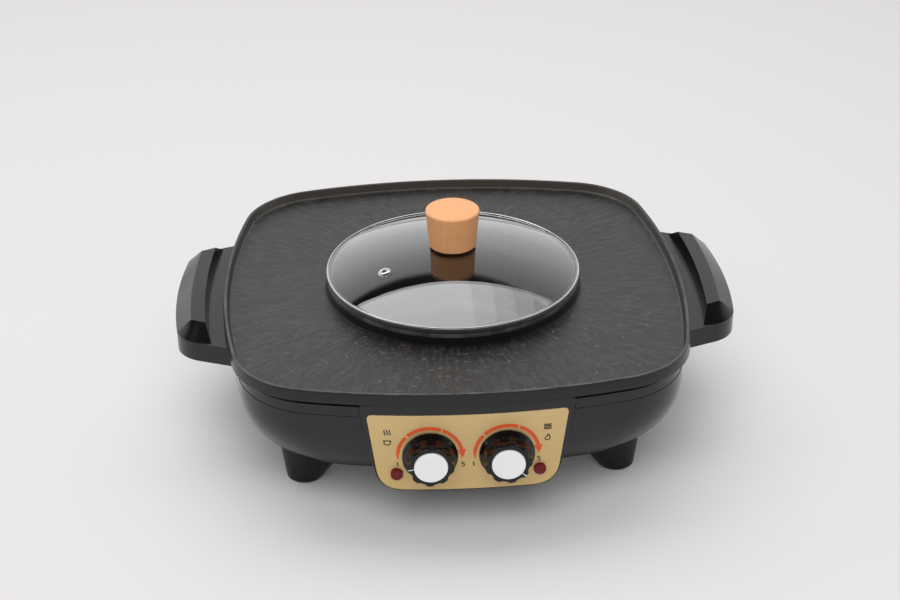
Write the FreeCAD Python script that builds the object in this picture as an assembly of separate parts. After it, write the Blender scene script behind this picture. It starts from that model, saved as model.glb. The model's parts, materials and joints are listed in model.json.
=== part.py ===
"""Electric hot pot with a grill surface round it, and a loose glass lid.

Millimetres, +Z up, +X to the cook's right, -Y towards the cook. Every piece is built about
the pot's own upright axis, standing on the table at z = 0, and is moved by AXIS_Y when it is
written, so that the shared origin is the middle of the whole footprint.
"""
import FreeCAD, Part
import math
import os

V = FreeCAD.Vector
UP = V(0, 0, 1)
BACK = V(0, 1, 0)
RIGHT = V(1, 0, 0)
QUARTERS = [(1, 1), (-1, 1), (-1, -1), (1, -1)]

# ---- grill pan: a bowed square with a round pot well in its middle ----
PAN_HALF_WIDTH = 179.8
PAN_HALF_DEPTH = 178.8
SIDE_RADIUS = 560.0
FRONT_RADIUS = 504.0
CORNER_RADIUS = 66.0
RIM_TOP = 125.0
RIM_BOTTOM = 116.3
RIM_WIDTH = 2.3
RIM_FLARE = 1.0
RIM_ROUND = 0.8
GRILL_FLOOR = 118.0
RECESS_TAPER = 1.4
RECESS_ROUND = 1.3
PLATE_THICKNESS = 3.0
SPIGOT_INSET = 7.0

WELL_RADIUS_TOP = 94.0
WELL_RADIUS_BOTTOM = 88.0
WELL_FLOOR = 48.0
WELL_CORNER = 14.0
WELL_WALL = 3.0
COLLAR_TOP = 127.4
COLLAR_OUTER = 101.8
COLLAR_FOOT = 107.0
COLLAR_ROUND = 1.2
MOUTH_ROUND = 0.8

# ---- base shell: upright band, then a quarter super-ellipse down to a flat bottom ----
SHELL_TOP = 115.3
SHELL_BAND_INSET = 4.1
SHELL_BAND_BOTTOM = 102.8
SHELL_INSET = 3.8
SHELL_CURVE_TOP = 89.0
SHELL_BOTTOM = 23.0
SHELL_CURVE_REACH = 80.0
SHELL_CURVE_POWER = 1.8
SHELL_CORNER_LOSS = 0.07
SHELL_WALL = 2.5

# ---- fasteners and the posts they go into ----
SCREW_RADIUS = 2.0
SCREW_HOLE = 2.3
HEAD_RADIUS = 3.8
HEAD_HEIGHT = 3.0
SMALL_SCREW_RADIUS = 1.5
SMALL_HEAD_RADIUS = 3.0
POST_RADIUS = 7.0
PAN_POST_AT = 125.0
PAN_POST_TOP = 104.4
PAN_SCREW_SEAT = 95.0

# ---- bottom cover ----
COVER_RADIUS = 84.0
COVER_OPENING = 77.0
COVER_THICKNESS = 1.2
COVER_SCREW_CIRCLE = 80.5
COVER_SCREW_ANGLES = [30, 90, 150, 210, 270, 330]
VENT_SLOTS = 12

# ---- feet ----
FOOT_X = 121.0
FOOT_Y = 88.0
FOOT_RADIUS = 14.6
FOOT_BOTTOM = 1.0
FOOT_TOP = 42.0
PAD_RADIUS = 11.5
PAD_THICKNESS = 3.0
PAD_PLUG_RADIUS = 4.9
FOOT_SCREW_SEAT = 16.0
FOOT_BOSS_TOP = 46.0

# ---- handles: a flat slab with a hipped, raised grip along its outer edge ----
HANDLE_BOTTOM = 99.0
HANDLE_TOP = 114.4
GRIP_TOP = 124.3
HANDLE_WALL = 3.0
HANDLE_REACH = 218.0
HANDLE_SCREW_Y = 42.0
HANDLE_SCREW_Z = 106.5
HANDLE_SCREW_SEAT = 170.5
GRIP_CREST_ROUND = 2.4

# ---- control box on the front; its face plate is one trapezium with rounded corners ----
PLATE_FACE = -177.0
PLATE_GAUGE = 0.8
PLATE_TOP = 110.4
PLATE_BOTTOM = 43.3
PLATE_HALF_TOP = 72.5
PLATE_HALF_BOTTOM = 64.1
PLATE_CORNER_TOP = 4.5
PLATE_CORNER_BOTTOM = 17.0
BEZEL_PROUD = 0.4
BEZEL_WIDTH = 1.3
BOX_SHOULDER = 3.0
WINDOW_INSET_TOP = 6.0
WINDOW_INSET_BOTTOM = 11.0
BOX_SCREW_X = 18.0
BOX_SCREW_Z = 48.5
BOX_SCREW_SEAT = -144.8
BOX_HOOK_X = 40.0
BOX_WALL = 2.5
BOX_FRONT = PLATE_FACE - BEZEL_PROUD
BOX_SEAT = PLATE_FACE + PLATE_GAUGE
BOX_INSIDE = BOX_SEAT + BOX_WALL
BOX_EDGE = PLATE_FACE + 8.0
BOX_SCREW_BOSS = 4.5
SHAFT_OPENING = 4.2
KNOB_X = 27.6
KNOB_Z = 72.8
LAMP_X = 51.7
LAMP_Z = 57.6
LENS_RADIUS = 4.75
LENS_STEM_RADIUS = 4.0

# ---- control knobs, sizes outward from the face plate ----
KNOB_GAP = 0.4
SKIRT_RADIUS = 20.05
SKIRT_HEIGHT = 3.6
GRIP_RADIUS = 15.8
GRIP_HEIGHT = 14.4
FLUTES = 9
FLUTE_RADIUS = 6.0
FLUTE_DEPTH = 1.7
CAP_RADIUS = 12.06
CAP_SEAT = 13.0
CAP_FACE = 15.9
POINTER_WIDTH = 1.3
POINTER_DEPTH = 0.6
POINTER_ANGLES = {"left": 187.0, "right": -40.0}
SHAFT_RADIUS = 3.0
SHAFT_FLAT = 2.2
RUNNING_FIT = 0.05

# ---- thermostats behind the knobs, sizes inward from the face plate ----
BRACKET_GAUGE = 1.2
THERMOSTAT_WIDTH = 26.0
THERMOSTAT_HEIGHT = 20.0
THERMOSTAT_DEPTH = 20.0
THERMOSTAT_SCREW_X = 14.0
BLADE_X = 7.0
BLADE_LENGTH = 9.0

# ---- lid ----
LID_RADIUS = 100.0
LID_RIM_TOP = 132.7
LID_RIM_BOTTOM = 127.7
LID_SHEET = 0.6
LID_BEND = 0.9
LID_CURL_RADIUS = 97.4
LID_LIP_BOTTOM = 123.5
LID_LIP_RADIUS = 92.4
GLASS_RADIUS = 99.2
GLASS_DOME_RADIUS = 93.0
GLASS_BEND = 4.0
GLASS_THICKNESS = 3.6
GLASS_EDGE = 132.0
GLASS_APEX = 151.0
VENT_AT = V(-54.3, -28.0, 0)
VENT_FLANGE_RADIUS = 5.2
LID_KNOB_BOTTOM = 151.9
LID_KNOB_TOP = 183.4
LID_KNOB_FOOT_RADIUS = 18.3
LID_KNOB_HEAD_RADIUS = 21.2
LID_KNOB_ROUND = 1.6
LID_KNOB_CROWN = 0.9

# ---- heating elements and the sheets under them ----
ELEMENT_RADIUS = 3.3
ELEMENT_ELBOW = 8.0
WELL_ELEMENT_RADIUS = 60.0
WELL_ELEMENT_Z = 41.7
WELL_LEG_BOTTOM = 29.0
WELL_ELEMENT_GAP = 20.0
GRILL_ELEMENT_HALF = 118.0
GRILL_ELEMENT_CORNER = 50.0
GRILL_ELEMENT_Z = 111.7
GRILL_LEG_BOTTOM = 92.0
GRILL_LEG_X = 14.0
BEAD_HALF = 5.5
SHEET_GAUGE = 0.6
REFLECTOR_Z = 34.4
REFLECTOR_RADIUS = 76.0
REFLECTOR_STUD_CIRCLE = 30.0
REFLECTOR_STUD_ANGLES = [90, 210, 330]
SHIELD_INSET = 20.0

# ---- mains side ----
INLET_FACE = 178.0
INLET_FLANGE = 1.8
INLET_Z = 86.0
INLET_FLANGE_HALF = (15.5, 12.5)
INLET_DEPTH = 20.0
PIN_LENGTH = 27.0
PINS_AT = [(-7.0, -2.0), (7.0, -2.0), (0.0, 2.5)]
TERMINAL_BLOCK_Z = 50.0
TERMINAL_BLOCK_Y = 126.0
TERMINAL_POST_X = 13.0
TERMINAL_X = 12.0
TERMINAL_HOLE_Z = TERMINAL_BLOCK_Z + 6

# ---- wiring inside the base ----
LEAD_RADIUS = 1.4
LEAD_Z = 30.0
LEAD_RING = 112.0
TAB_LENGTH = 13.0
FUSE_Y = 8.0
FUSE_RADIUS = 2.4
FUSE_LEAD_X = 34.0
FUSE_SCREW_Y = 7.0
FUSE_SCREW_RADIUS = 1.2

BACK_REACH = PAN_HALF_DEPTH + RIM_FLARE
FRONT_REACH = CAP_FACE - PLATE_FACE
AXIS_Y = (FRONT_REACH - BACK_REACH) / 2


# ---------------------------------------------------------------- helpers

def save(name, *solids):
    """Move the solids of one piece to the shared origin and write them as parts/NAME.step."""
    shape = solids[0] if len(solids) == 1 else Part.makeCompound(list(solids))
    moved = shape.copy()
    moved.translate(V(0, AXIS_Y, 0))
    moved.exportStep(os.path.join("parts", name + ".step"))


def cylinder(radius, low, high, x=0.0, y=0.0):
    """Upright cylinder between two heights."""
    return Part.makeCylinder(radius, high - low, V(x, y, low))


def box(x_range, y_range, z_range):
    """Box from three (low, high) pairs."""
    low = V(x_range[0], y_range[0], z_range[0])
    return Part.makeBox(x_range[1] - low.x, y_range[1] - low.y, z_range[1] - low.z, low)


def polar(radius, degrees, z=0.0):
    """Point on a circle about the upright axis."""
    angle = math.radians(degrees)
    return V(radius * math.cos(angle), radius * math.sin(angle), z)


def mirrored(shape, x_sign, y_sign):
    """Copy of a shape in another quarter of the object."""
    copy = shape.copy()
    if x_sign < 0:
        copy = copy.mirror(V(0, 0, 0), RIGHT)
    if y_sign < 0:
        copy = copy.mirror(V(0, 0, 0), BACK)
    return copy


def line(start, end):
    return Part.LineSegment(start, end).toShape()


def arc(start, middle, end):
    return Part.Arc(start, middle, end).toShape()


def turned(*points):
    """Solid turned about the upright axis, from a closed outline of (radius, height) corners."""
    corners = [V(radius, 0, height) for radius, height in points]
    return turned_edges(Part.makePolygon(corners + corners[:1]).Edges)


def turned_edges(edges):
    """The same, from the closed outline's edges in the XZ plane."""
    return Part.Face(Part.Wire(edges)).revolve(V(0, 0, 0), UP, 360)


def crown(radius, edge, apex):
    """Section arc of a shallow dome, from its edge to its top on the axis."""
    rise = apex - edge
    sphere = (radius ** 2 + rise ** 2) / (2 * rise)
    halfway = apex - sphere + math.sqrt(sphere ** 2 - radius ** 2 / 4)
    return arc(V(radius, 0, edge), V(radius / 2, 0, halfway), V(0, 0, apex))


def tube(path_edges, radius, rounded_corners=False):
    """Round rod along a chain of edges, whose corners, if it has any, are rounded."""
    path = Part.Wire(path_edges)
    first = path.OrderedEdges[0]
    start = first.valueAt(first.FirstParameter)
    ring = Part.Wire([Part.makeCircle(radius, start, first.tangentAt(first.FirstParameter))])
    return path.makePipeShell([ring], True, False, 2 if rounded_corners else 0)


def bend(before, corner, after, radius):
    """Start, middle and end of the tangent arc that rounds a corner."""
    to_last = (before - corner).normalize()
    to_next = (after - corner).normalize()
    half_angle = to_last.getAngle(to_next) / 2
    setback = radius / math.tan(half_angle)
    reach = radius / math.sin(half_angle) - radius
    middle = corner + (to_last + to_next).normalize() * reach
    return corner + to_last * setback, middle, corner + to_next * setback


def rounded_polygon(corners):
    """Closed wire in the XY plane through (x, y, corner radius) triples; 0 keeps a corner sharp."""
    points = [V(x, y, 0) for x, y, _ in corners]
    edges = []
    joints = []
    for index, (_, _, radius) in enumerate(corners):
        after = points[(index + 1) % len(points)]
        joints.append(bend(points[index - 1], points[index], after, radius))
    for index, (start, middle, end) in enumerate(joints):
        if corners[index][2] > 0:
            edges.append(arc(start, middle, end))
        edges.append(line(end, joints[(index + 1) % len(joints)][0]))
    return Part.Wire(edges)


def turned_section(*corners):
    """Solid turned about the upright axis from (radius, height, corner radius) triples."""
    wire = rounded_polygon(corners)
    wire.rotate(V(0, 0, 0), RIGHT, 90)
    return turned_edges(wire.Edges)


def screw(radius, length, head_radius, head_height):
    """Pan-head screw along +Z: slotted head below z = 0, shank above it."""
    shank = Part.makeCylinder(radius, length)
    head = Part.makeCylinder(head_radius, head_height, V(0, 0, -head_height))
    slot = box((-head_radius, head_radius), (-0.5, 0.5), (-head_height - 1, 0.8 - head_height))
    return shank.fuse(head).cut(slot).removeSplitter()


def aimed(shape, direction, at):
    """Copy of a shape built along +Z, turned to a direction and moved to a place."""
    copy = shape.copy()
    copy.Placement = FreeCAD.Placement(at, FreeCAD.Rotation(UP, direction))
    return copy


def on_panel(shape, x=0.0, z=0.0):
    """Stand a shape on the face plate: its +Z becomes outward and its +Y becomes up."""
    copy = shape.copy()
    copy.rotate(V(0, 0, 0), RIGHT, 90)
    copy.translate(V(x, PLATE_FACE, z))
    return copy


# ---------------------------------------------------------------- the bowed square

def bowed_square(inset, z, corner_loss=1.0):
    """Closed wire: four bowed sides joined by tangent corner arcs, inset from the pan's rim."""
    half_x = PAN_HALF_WIDTH - inset
    half_y = PAN_HALF_DEPTH - inset
    side = SIDE_RADIUS - inset
    front = FRONT_RADIUS - inset
    corner = CORNER_RADIUS - inset * corner_loss
    side_centre = V(half_x - side, 0, z)
    front_centre = V(0, half_y - front, z)

    # the corner's centre is where circles about the two side centres meet
    span = front_centre - side_centre
    apart = span.Length
    along = ((side - corner) ** 2 - (front - corner) ** 2 + apart ** 2) / (2 * apart)
    across = math.sqrt((side - corner) ** 2 - along ** 2)
    ahead = V(span.x / apart, span.y / apart, 0)
    corner_centre = side_centre + ahead * along + V(-ahead.y, ahead.x, 0) * across

    to_side = (corner_centre - side_centre).normalize()
    to_front = (corner_centre - front_centre).normalize()
    side_end = side_centre + to_side * side
    front_end = front_centre + to_front * front
    middle = corner_centre + (to_side + to_front).normalize() * corner

    def at(point, x_sign, y_sign):
        return V(point.x * x_sign, point.y * y_sign, z)

    edges = [
        arc(at(side_end, 1, -1), V(half_x, 0, z), at(side_end, 1, 1)),
        arc(at(side_end, 1, 1), at(middle, 1, 1), at(front_end, 1, 1)),
        arc(at(front_end, 1, 1), V(0, half_y, z), at(front_end, -1, 1)),
        arc(at(front_end, -1, 1), at(middle, -1, 1), at(side_end, -1, 1)),
        arc(at(side_end, -1, 1), V(-half_x, 0, z), at(side_end, -1, -1)),
        arc(at(side_end, -1, -1), at(middle, -1, -1), at(front_end, -1, -1)),
        arc(at(front_end, -1, -1), V(0, -half_y, z), at(front_end, 1, -1)),
        arc(at(front_end, 1, -1), at(middle, 1, -1), at(side_end, 1, -1)),
    ]
    return Part.Wire(edges)


def bowed_prism(inset, low, high, corner_loss=1.0):
    """Upright solid with one bowed square as its outline."""
    return Part.Face(bowed_square(inset, low, corner_loss)).extrude(V(0, 0, high - low))


def bowed_taper(inset_low, inset_high, low, high):
    """Straight-sided solid between two bowed squares of different size."""
    return Part.makeLoft([bowed_square(inset_low, low), bowed_square(inset_high, high)], True, True)


# ---------------------------------------------------------------- grill pan

def pan_well(gain, floor, top):
    """Tapered round pot with a rounded foot: the well's hollow, or, gained, its outside."""
    bottom, mouth = WELL_RADIUS_BOTTOM + gain, WELL_RADIUS_TOP + gain
    return turned_section((0, floor, 0), (bottom, floor, WELL_CORNER + gain), (mouth, top, 0),
                          (0, top, 0))


def well_mouth():
    """Room above the collar, whose lower edge rounds the mouth of the well."""
    clear = 5.0
    return turned_section(
        (0, COLLAR_TOP - clear, 0), (WELL_RADIUS_TOP, COLLAR_TOP - clear, 0),
        (WELL_RADIUS_TOP, COLLAR_TOP, MOUTH_ROUND), (WELL_RADIUS_TOP + clear, COLLAR_TOP, 0),
        (WELL_RADIUS_TOP + clear, COLLAR_TOP + clear, 0), (0, COLLAR_TOP + clear, 0))


def pan_collar():
    """Raised ring round the well: sloped outside, with a rounded foot and crest."""
    low = GRILL_FLOOR - 1
    inside = 80.0
    skirt = COLLAR_FOOT + 2.0
    return turned_section(
        (inside, low, 0), (skirt, low, 0), (skirt, GRILL_FLOOR, 0),
        (COLLAR_FOOT, GRILL_FLOOR, COLLAR_ROUND), (COLLAR_OUTER, COLLAR_TOP, COLLAR_ROUND),
        (inside, COLLAR_TOP, 0))


def rounded_square(half, corner, z):
    """Closed wire of a plain square with rounded corners."""
    wire = rounded_polygon([(half, -half, corner), (half, half, corner),
                            (-half, half, corner), (-half, -half, corner)])
    wire.translate(V(0, 0, z))
    return wire


def well_element_bead():
    """Cast ring under the well's floor, and the groove in it for the heating element."""
    ring = turned((WELL_ELEMENT_RADIUS - BEAD_HALF, WELL_ELEMENT_Z),
                  (WELL_ELEMENT_RADIUS + BEAD_HALF, WELL_ELEMENT_Z),
                  (WELL_ELEMENT_RADIUS + BEAD_HALF, WELL_FLOOR - 1),
                  (WELL_ELEMENT_RADIUS - BEAD_HALF, WELL_FLOOR - 1))
    groove = Part.makeTorus(WELL_ELEMENT_RADIUS, ELEMENT_RADIUS + RUNNING_FIT,
                            V(0, 0, WELL_ELEMENT_Z))
    return ring, groove


def grill_element_bead():
    """Cast rounded-square bead under the grill plate, and the groove in it."""
    half, corner, z = GRILL_ELEMENT_HALF, GRILL_ELEMENT_CORNER, GRILL_ELEMENT_Z
    height = V(0, 0, GRILL_FLOOR - 1 - z)
    outer = Part.Face(rounded_square(half + BEAD_HALF, corner + BEAD_HALF, z)).extrude(height)
    inner = Part.Face(rounded_square(half - BEAD_HALF, corner - BEAD_HALF, z)).extrude(height)
    groove = tube(rounded_square(half, corner, z).Edges, ELEMENT_RADIUS + RUNNING_FIT)
    return outer.cut(inner), groove


def rounded_edges(solid, z, radius):
    """Round every edge of a solid that lies at one height."""
    edges = [edge for edge in solid.Edges
             if abs(edge.BoundBox.ZMin - z) < 0.01 and abs(edge.BoundBox.ZMax - z) < 0.01]
    return solid.makeFillet(radius, edges)


def make_grill_pan():
    skirt = bowed_taper(-RIM_FLARE, 0, RIM_BOTTOM, RIM_TOP)
    spigot = bowed_prism(SPIGOT_INSET, GRILL_FLOOR - PLATE_THICKNESS, RIM_BOTTOM + 0.5,
                         SHELL_CORNER_LOSS)
    recess = bowed_taper(RIM_WIDTH + RECESS_TAPER, RIM_WIDTH, GRILL_FLOOR, RIM_TOP)
    pan = skirt.fuse(spigot).cut(recess)
    pan = rounded_edges(pan, RIM_TOP, RIM_ROUND)
    pan = rounded_edges(pan, GRILL_FLOOR, RECESS_ROUND)
    pan = pan.fuse(pan_collar())
    pan = pan.fuse(pan_well(WELL_WALL, WELL_FLOOR - WELL_WALL, GRILL_FLOOR - 1))
    for bead, groove in (well_element_bead(), grill_element_bead()):
        pan = pan.fuse(bead).cut(groove)
    for x_sign, y_sign in QUARTERS:
        x, y = PAN_POST_AT * x_sign, PAN_POST_AT * y_sign
        pan = pan.fuse(cylinder(POST_RADIUS, PAN_POST_TOP + SHEET_GAUGE, GRILL_FLOOR - 1, x, y))
        pan = pan.cut(cylinder(SCREW_RADIUS, PAN_POST_TOP, GRILL_FLOOR - 4, x, y))
    for angle in REFLECTOR_STUD_ANGLES:
        at = polar(REFLECTOR_STUD_CIRCLE, angle)
        pan = pan.fuse(cylinder(4.0, REFLECTOR_Z, WELL_FLOOR - 1, at.x, at.y))
        pan = pan.cut(cylinder(SMALL_SCREW_RADIUS, REFLECTOR_Z, WELL_FLOOR - 4, at.x, at.y))
    for side in (1, -1):
        y = FUSE_Y + FUSE_SCREW_Y * side
        pan = pan.cut(cylinder(FUSE_SCREW_RADIUS, WELL_FLOOR - 4, WELL_FLOOR - 1.4, 0, y))
    pan = pan.cut(pan_well(0, WELL_FLOOR, COLLAR_TOP)).cut(well_mouth())
    save("grill_pan", pan.removeSplitter())


def make_rim_seal():
    """Silicone ring between the pan's skirt and the base shell's top edge."""
    outer, inner = SHELL_BAND_INSET + 0.9, SHELL_BAND_INSET + SHELL_WALL - 0.1
    ring = bowed_prism(outer, SHELL_TOP, RIM_BOTTOM, SHELL_CORNER_LOSS)
    hollow = bowed_prism(inner, SHELL_TOP - 1, RIM_BOTTOM + 1, SHELL_CORNER_LOSS)
    save("rim_seal", ring.cut(hollow))


# ---------------------------------------------------------------- base shell

def shell_form(wall):
    """The base's outer form, or, for a wall above zero, the hollow inside it."""
    reach = SHELL_CURVE_REACH - wall
    drop = SHELL_CURVE_TOP - SHELL_BOTTOM - wall
    exponent = 2 / SHELL_CURVE_POWER
    start = SHELL_INSET + wall
    sections = [bowed_square(start, SHELL_BAND_BOTTOM, SHELL_CORNER_LOSS)]
    for degrees in range(0, 91, 15):
        angle = math.radians(degrees)
        inset = start + reach * (1 - abs(math.cos(angle)) ** exponent)
        z = SHELL_CURVE_TOP - drop * math.sin(angle) ** exponent
        sections.append(bowed_square(inset, z, SHELL_CORNER_LOSS))
    bowl = Part.makeLoft(sections, True, False)
    band = bowed_prism(SHELL_BAND_INSET + wall, SHELL_BAND_BOTTOM, SHELL_TOP + wall,
                       SHELL_CORNER_LOSS)
    return bowl.fuse(band)


def control_window():
    """Cut-out in the base shell behind the control box."""
    return panel_prism(-WINDOW_INSET_TOP, -WINDOW_INSET_BOTTOM, PLATE_FACE, -110.0)


def add_posts(shell, outer):
    """Hollow posts for the pan's screws, and bosses for the feet and the bottom cover."""
    for x_sign, y_sign in QUARTERS:
        x, y = PAN_POST_AT * x_sign, PAN_POST_AT * y_sign
        shell = shell.fuse(cylinder(POST_RADIUS, SHELL_BOTTOM, PAN_POST_TOP, x, y).common(outer))
        shell = shell.cut(cylinder(HEAD_RADIUS + 0.7, SHELL_BOTTOM, PAN_SCREW_SEAT, x, y))
        shell = shell.cut(cylinder(SCREW_HOLE, SHELL_BOTTOM, PAN_POST_TOP, x, y))
        x, y = FOOT_X * x_sign, FOOT_Y * y_sign
        shell = shell.fuse(cylinder(6.0, SHELL_BOTTOM, FOOT_BOSS_TOP, x, y).common(outer))
        shell = shell.cut(cylinder(SCREW_RADIUS, SHELL_BOTTOM, FOOT_BOSS_TOP - 2, x, y))
    for x in (TERMINAL_POST_X, -TERMINAL_POST_X):
        post = cylinder(4.0, SHELL_BOTTOM, TERMINAL_BLOCK_Z, x, TERMINAL_BLOCK_Y)
        shell = shell.fuse(post.common(outer))
    for angle in COVER_SCREW_ANGLES:
        at = polar(COVER_SCREW_CIRCLE, angle)
        shell = shell.fuse(cylinder(4.0, SHELL_BOTTOM + COVER_THICKNESS, 33.0, at.x, at.y))
        shell = shell.cut(cylinder(SMALL_SCREW_RADIUS, SHELL_BOTTOM, 32.0, at.x, at.y))
    return shell


def screw_pad(shell, outer, seat, outward):
    """Flat pad inside the shell's wall for a screw's head, with the screw's hole."""
    pad = Part.makeCylinder(5.0, 12, seat, outward)
    hole = Part.makeCylinder(SCREW_HOLE, 20, seat - outward, outward)
    return shell.fuse(pad.common(outer)).cut(hole)


def inlet_boss(outer):
    """Moulded box at the back, whose flat face carries the appliance inlet."""
    corners = [(27, -21, 4), (30, 20, 3), (-30, 20, 3), (-27, -21, 4)]
    face = Part.Face(rounded_polygon(corners))
    face.rotate(V(0, 0, 0), RIGHT, 90)
    face.translate(V(0, INLET_FACE, INLET_Z))
    return face.extrude(V(0, -40, 0)).cut(outer)


def inlet_hollow():
    """Room behind the inlet's face, open into the base, and the cut-out for the inlet."""
    room = box((-23, 23), (INLET_FACE - 32, INLET_FACE - SHELL_WALL), (INLET_Z - 18, INLET_Z + 16))
    opening = box((-13.6, 13.6), (INLET_FACE - 3, INLET_FACE + 1), (INLET_Z - 9.9, INLET_Z + 9.9))
    return room.fuse(opening)


def make_base_shell(outer):
    shell = outer.cut(shell_form(SHELL_WALL))
    shell = add_posts(shell, outer)
    low = SHELL_BOTTOM
    shell = shell.cut(cylinder(COVER_OPENING, low - 1, low + SHELL_WALL + 1))
    shell = shell.cut(cylinder(COVER_RADIUS + 0.3, low - 1, low + COVER_THICKNESS))
    shell = shell.fuse(inlet_boss(outer)).cut(inlet_hollow())
    shell = shell.cut(control_window())
    for side in (1, -1):
        for y in (HANDLE_SCREW_Y, -HANDLE_SCREW_Y):
            seat = V(HANDLE_SCREW_SEAT * side, y, HANDLE_SCREW_Z)
            shell = screw_pad(shell, outer, seat, RIGHT * side)
        seat = V(BOX_SCREW_X * side, BOX_SCREW_SEAT, BOX_SCREW_Z)
        shell = screw_pad(shell, outer, seat, V(0, -1, 0))
        shell = shell.cut(on_panel(cylinder(LENS_STEM_RADIUS, -30, 0), LAMP_X * side, LAMP_Z))
    save("base_shell", shell.removeSplitter())


def make_bottom_cover():
    """Pressed plate with a stiffening ring and a ring of vent slots."""
    low, high = SHELL_BOTTOM, SHELL_BOTTOM + COVER_THICKNESS
    plate = cylinder(COVER_RADIUS, low, high)
    plate = plate.fuse(turned((66, low), (72, low), (71, high + 2), (67, high + 2)))
    plate = plate.cut(turned((67, low - 1), (71, low - 1), (71, low), (70.2, high + 0.9),
                             (67.8, high + 0.9), (67, low)))
    vent = box((24, 54), (-2, 2), (low - 1, high + 1))
    for end in (24, 54):
        vent = vent.fuse(cylinder(2, low - 1, high + 1, end))
    for index in range(VENT_SLOTS):
        slot = vent.copy()
        slot.rotate(V(0, 0, 0), UP, 360 / VENT_SLOTS * index)
        plate = plate.cut(slot)
    fixing = screw(SMALL_SCREW_RADIUS, 8.0, SMALL_HEAD_RADIUS, 1.8)
    screws = []
    for angle in COVER_SCREW_ANGLES:
        at = polar(COVER_SCREW_CIRCLE, angle, low)
        plate = plate.cut(cylinder(SMALL_SCREW_RADIUS, low - 1, high + 1, at.x, at.y))
        screws.append(aimed(fixing, UP, at))
    save("bottom_cover", plate.removeSplitter())
    save("cover_screws", *screws)


# ---------------------------------------------------------------- feet

def foot_section(half_x, half_y, shift_x, shift_y, z):
    """Oval slice of a foot, shifted towards the middle of the base."""
    centre = V(FOOT_X - shift_x, FOOT_Y - shift_y, z)
    return Part.Wire([Part.Ellipse(centre, half_x, half_y).toShape()])


def make_feet(outer):
    """Horn-like feet: nearly upright outside, sloped inside, cut to the base's own curve."""
    radius = FOOT_RADIUS
    sole = FOOT_BOTTOM + 1.6
    heel = Part.makeCone(radius - 1.6, radius, 1.6, V(FOOT_X, FOOT_Y, FOOT_BOTTOM))
    leg = Part.makeLoft([
        Part.Wire([Part.makeCircle(radius, V(FOOT_X, FOOT_Y, sole))]),
        foot_section(radius + 9.0, radius + 4.0, 6.4, 1.6, sole + 18),
        foot_section(radius + 22.0, radius + 9.0, 17.0, 4.0, FOOT_TOP),
    ], True, False)
    foot = heel.fuse(leg).cut(outer)
    for bore, top in ((PAD_RADIUS + RUNNING_FIT, PAD_THICKNESS), (5.0, FOOT_SCREW_SEAT),
                      (SCREW_HOLE, FOOT_TOP)):
        foot = foot.cut(cylinder(bore, FOOT_BOTTOM - 2, top, FOOT_X, FOOT_Y))

    pad = cylinder(PAD_RADIUS, 0, PAD_THICKNESS, FOOT_X, FOOT_Y)
    pad = pad.fuse(cylinder(PAD_PLUG_RADIUS, 0, PAD_THICKNESS + 5, FOOT_X, FOOT_Y)).removeSplitter()
    fixing = screw(SCREW_RADIUS, FOOT_BOSS_TOP - 3 - FOOT_SCREW_SEAT, HEAD_RADIUS, HEAD_HEIGHT)
    fixing = aimed(fixing, UP, V(FOOT_X, FOOT_Y, FOOT_SCREW_SEAT))

    for x_sign, y_sign in QUARTERS:
        name = "foot_" + ("back_" if y_sign > 0 else "front_") + ("right" if x_sign > 0 else "left")
        save(name, mirrored(foot, x_sign, y_sign))
    save("foot_pads", *[mirrored(pad, *signs) for signs in QUARTERS])
    save("foot_screws", *[mirrored(fixing, *signs) for signs in QUARTERS])


def make_pan_screws():
    """Long screws up through the base's posts and the heat shield into the pan."""
    fixing = screw(SCREW_RADIUS, GRILL_FLOOR - 5 - PAN_SCREW_SEAT, HEAD_RADIUS, HEAD_HEIGHT)
    save("pan_screws", *[aimed(fixing, UP, V(PAN_POST_AT * x, PAN_POST_AT * y, PAN_SCREW_SEAT))
                         for x, y in QUARTERS])


# ---------------------------------------------------------------- handles

def bow(x_middle, x_end, y_end, z):
    """Arc bowed outward in X, from -y_end to +y_end."""
    return arc(V(x_end, -y_end, z), V(x_middle, 0, z), V(x_end, y_end, z))


def handle_end(inset):
    """Points round a handle's end: end of the outer bow, knee, start of the straight flank."""
    return (V(213.6 - inset, 57.5 - inset * 0.5, 0), V(206.4 - inset * 0.8, 69.8 - inset * 0.7, 0),
            V(195.5 - inset * 0.3, 76.6 - inset, 0))


def handle_slab(inset, low, high):
    """Flat part of the right handle; its inner side runs into the base shell."""
    outer, knee, flank = [point + V(0, 0, low) for point in handle_end(inset)]
    root = V(150.0, 94.0 - inset, low)
    flip = V(1, -1, 1)
    outer_low, knee_low, flank_low, root_low = [
        V(point.x * flip.x, point.y * flip.y, point.z) for point in (outer, knee, flank, root)]
    face = Part.Face(Part.Wire([
        bow(HANDLE_REACH - inset, outer.x, outer.y, low),
        arc(outer, knee, flank),
        line(flank, root),
        line(root, root_low),
        line(root_low, flank_low),
        arc(flank_low, knee_low, outer_low),
    ]))
    return face.extrude(V(0, 0, high - low))


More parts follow.
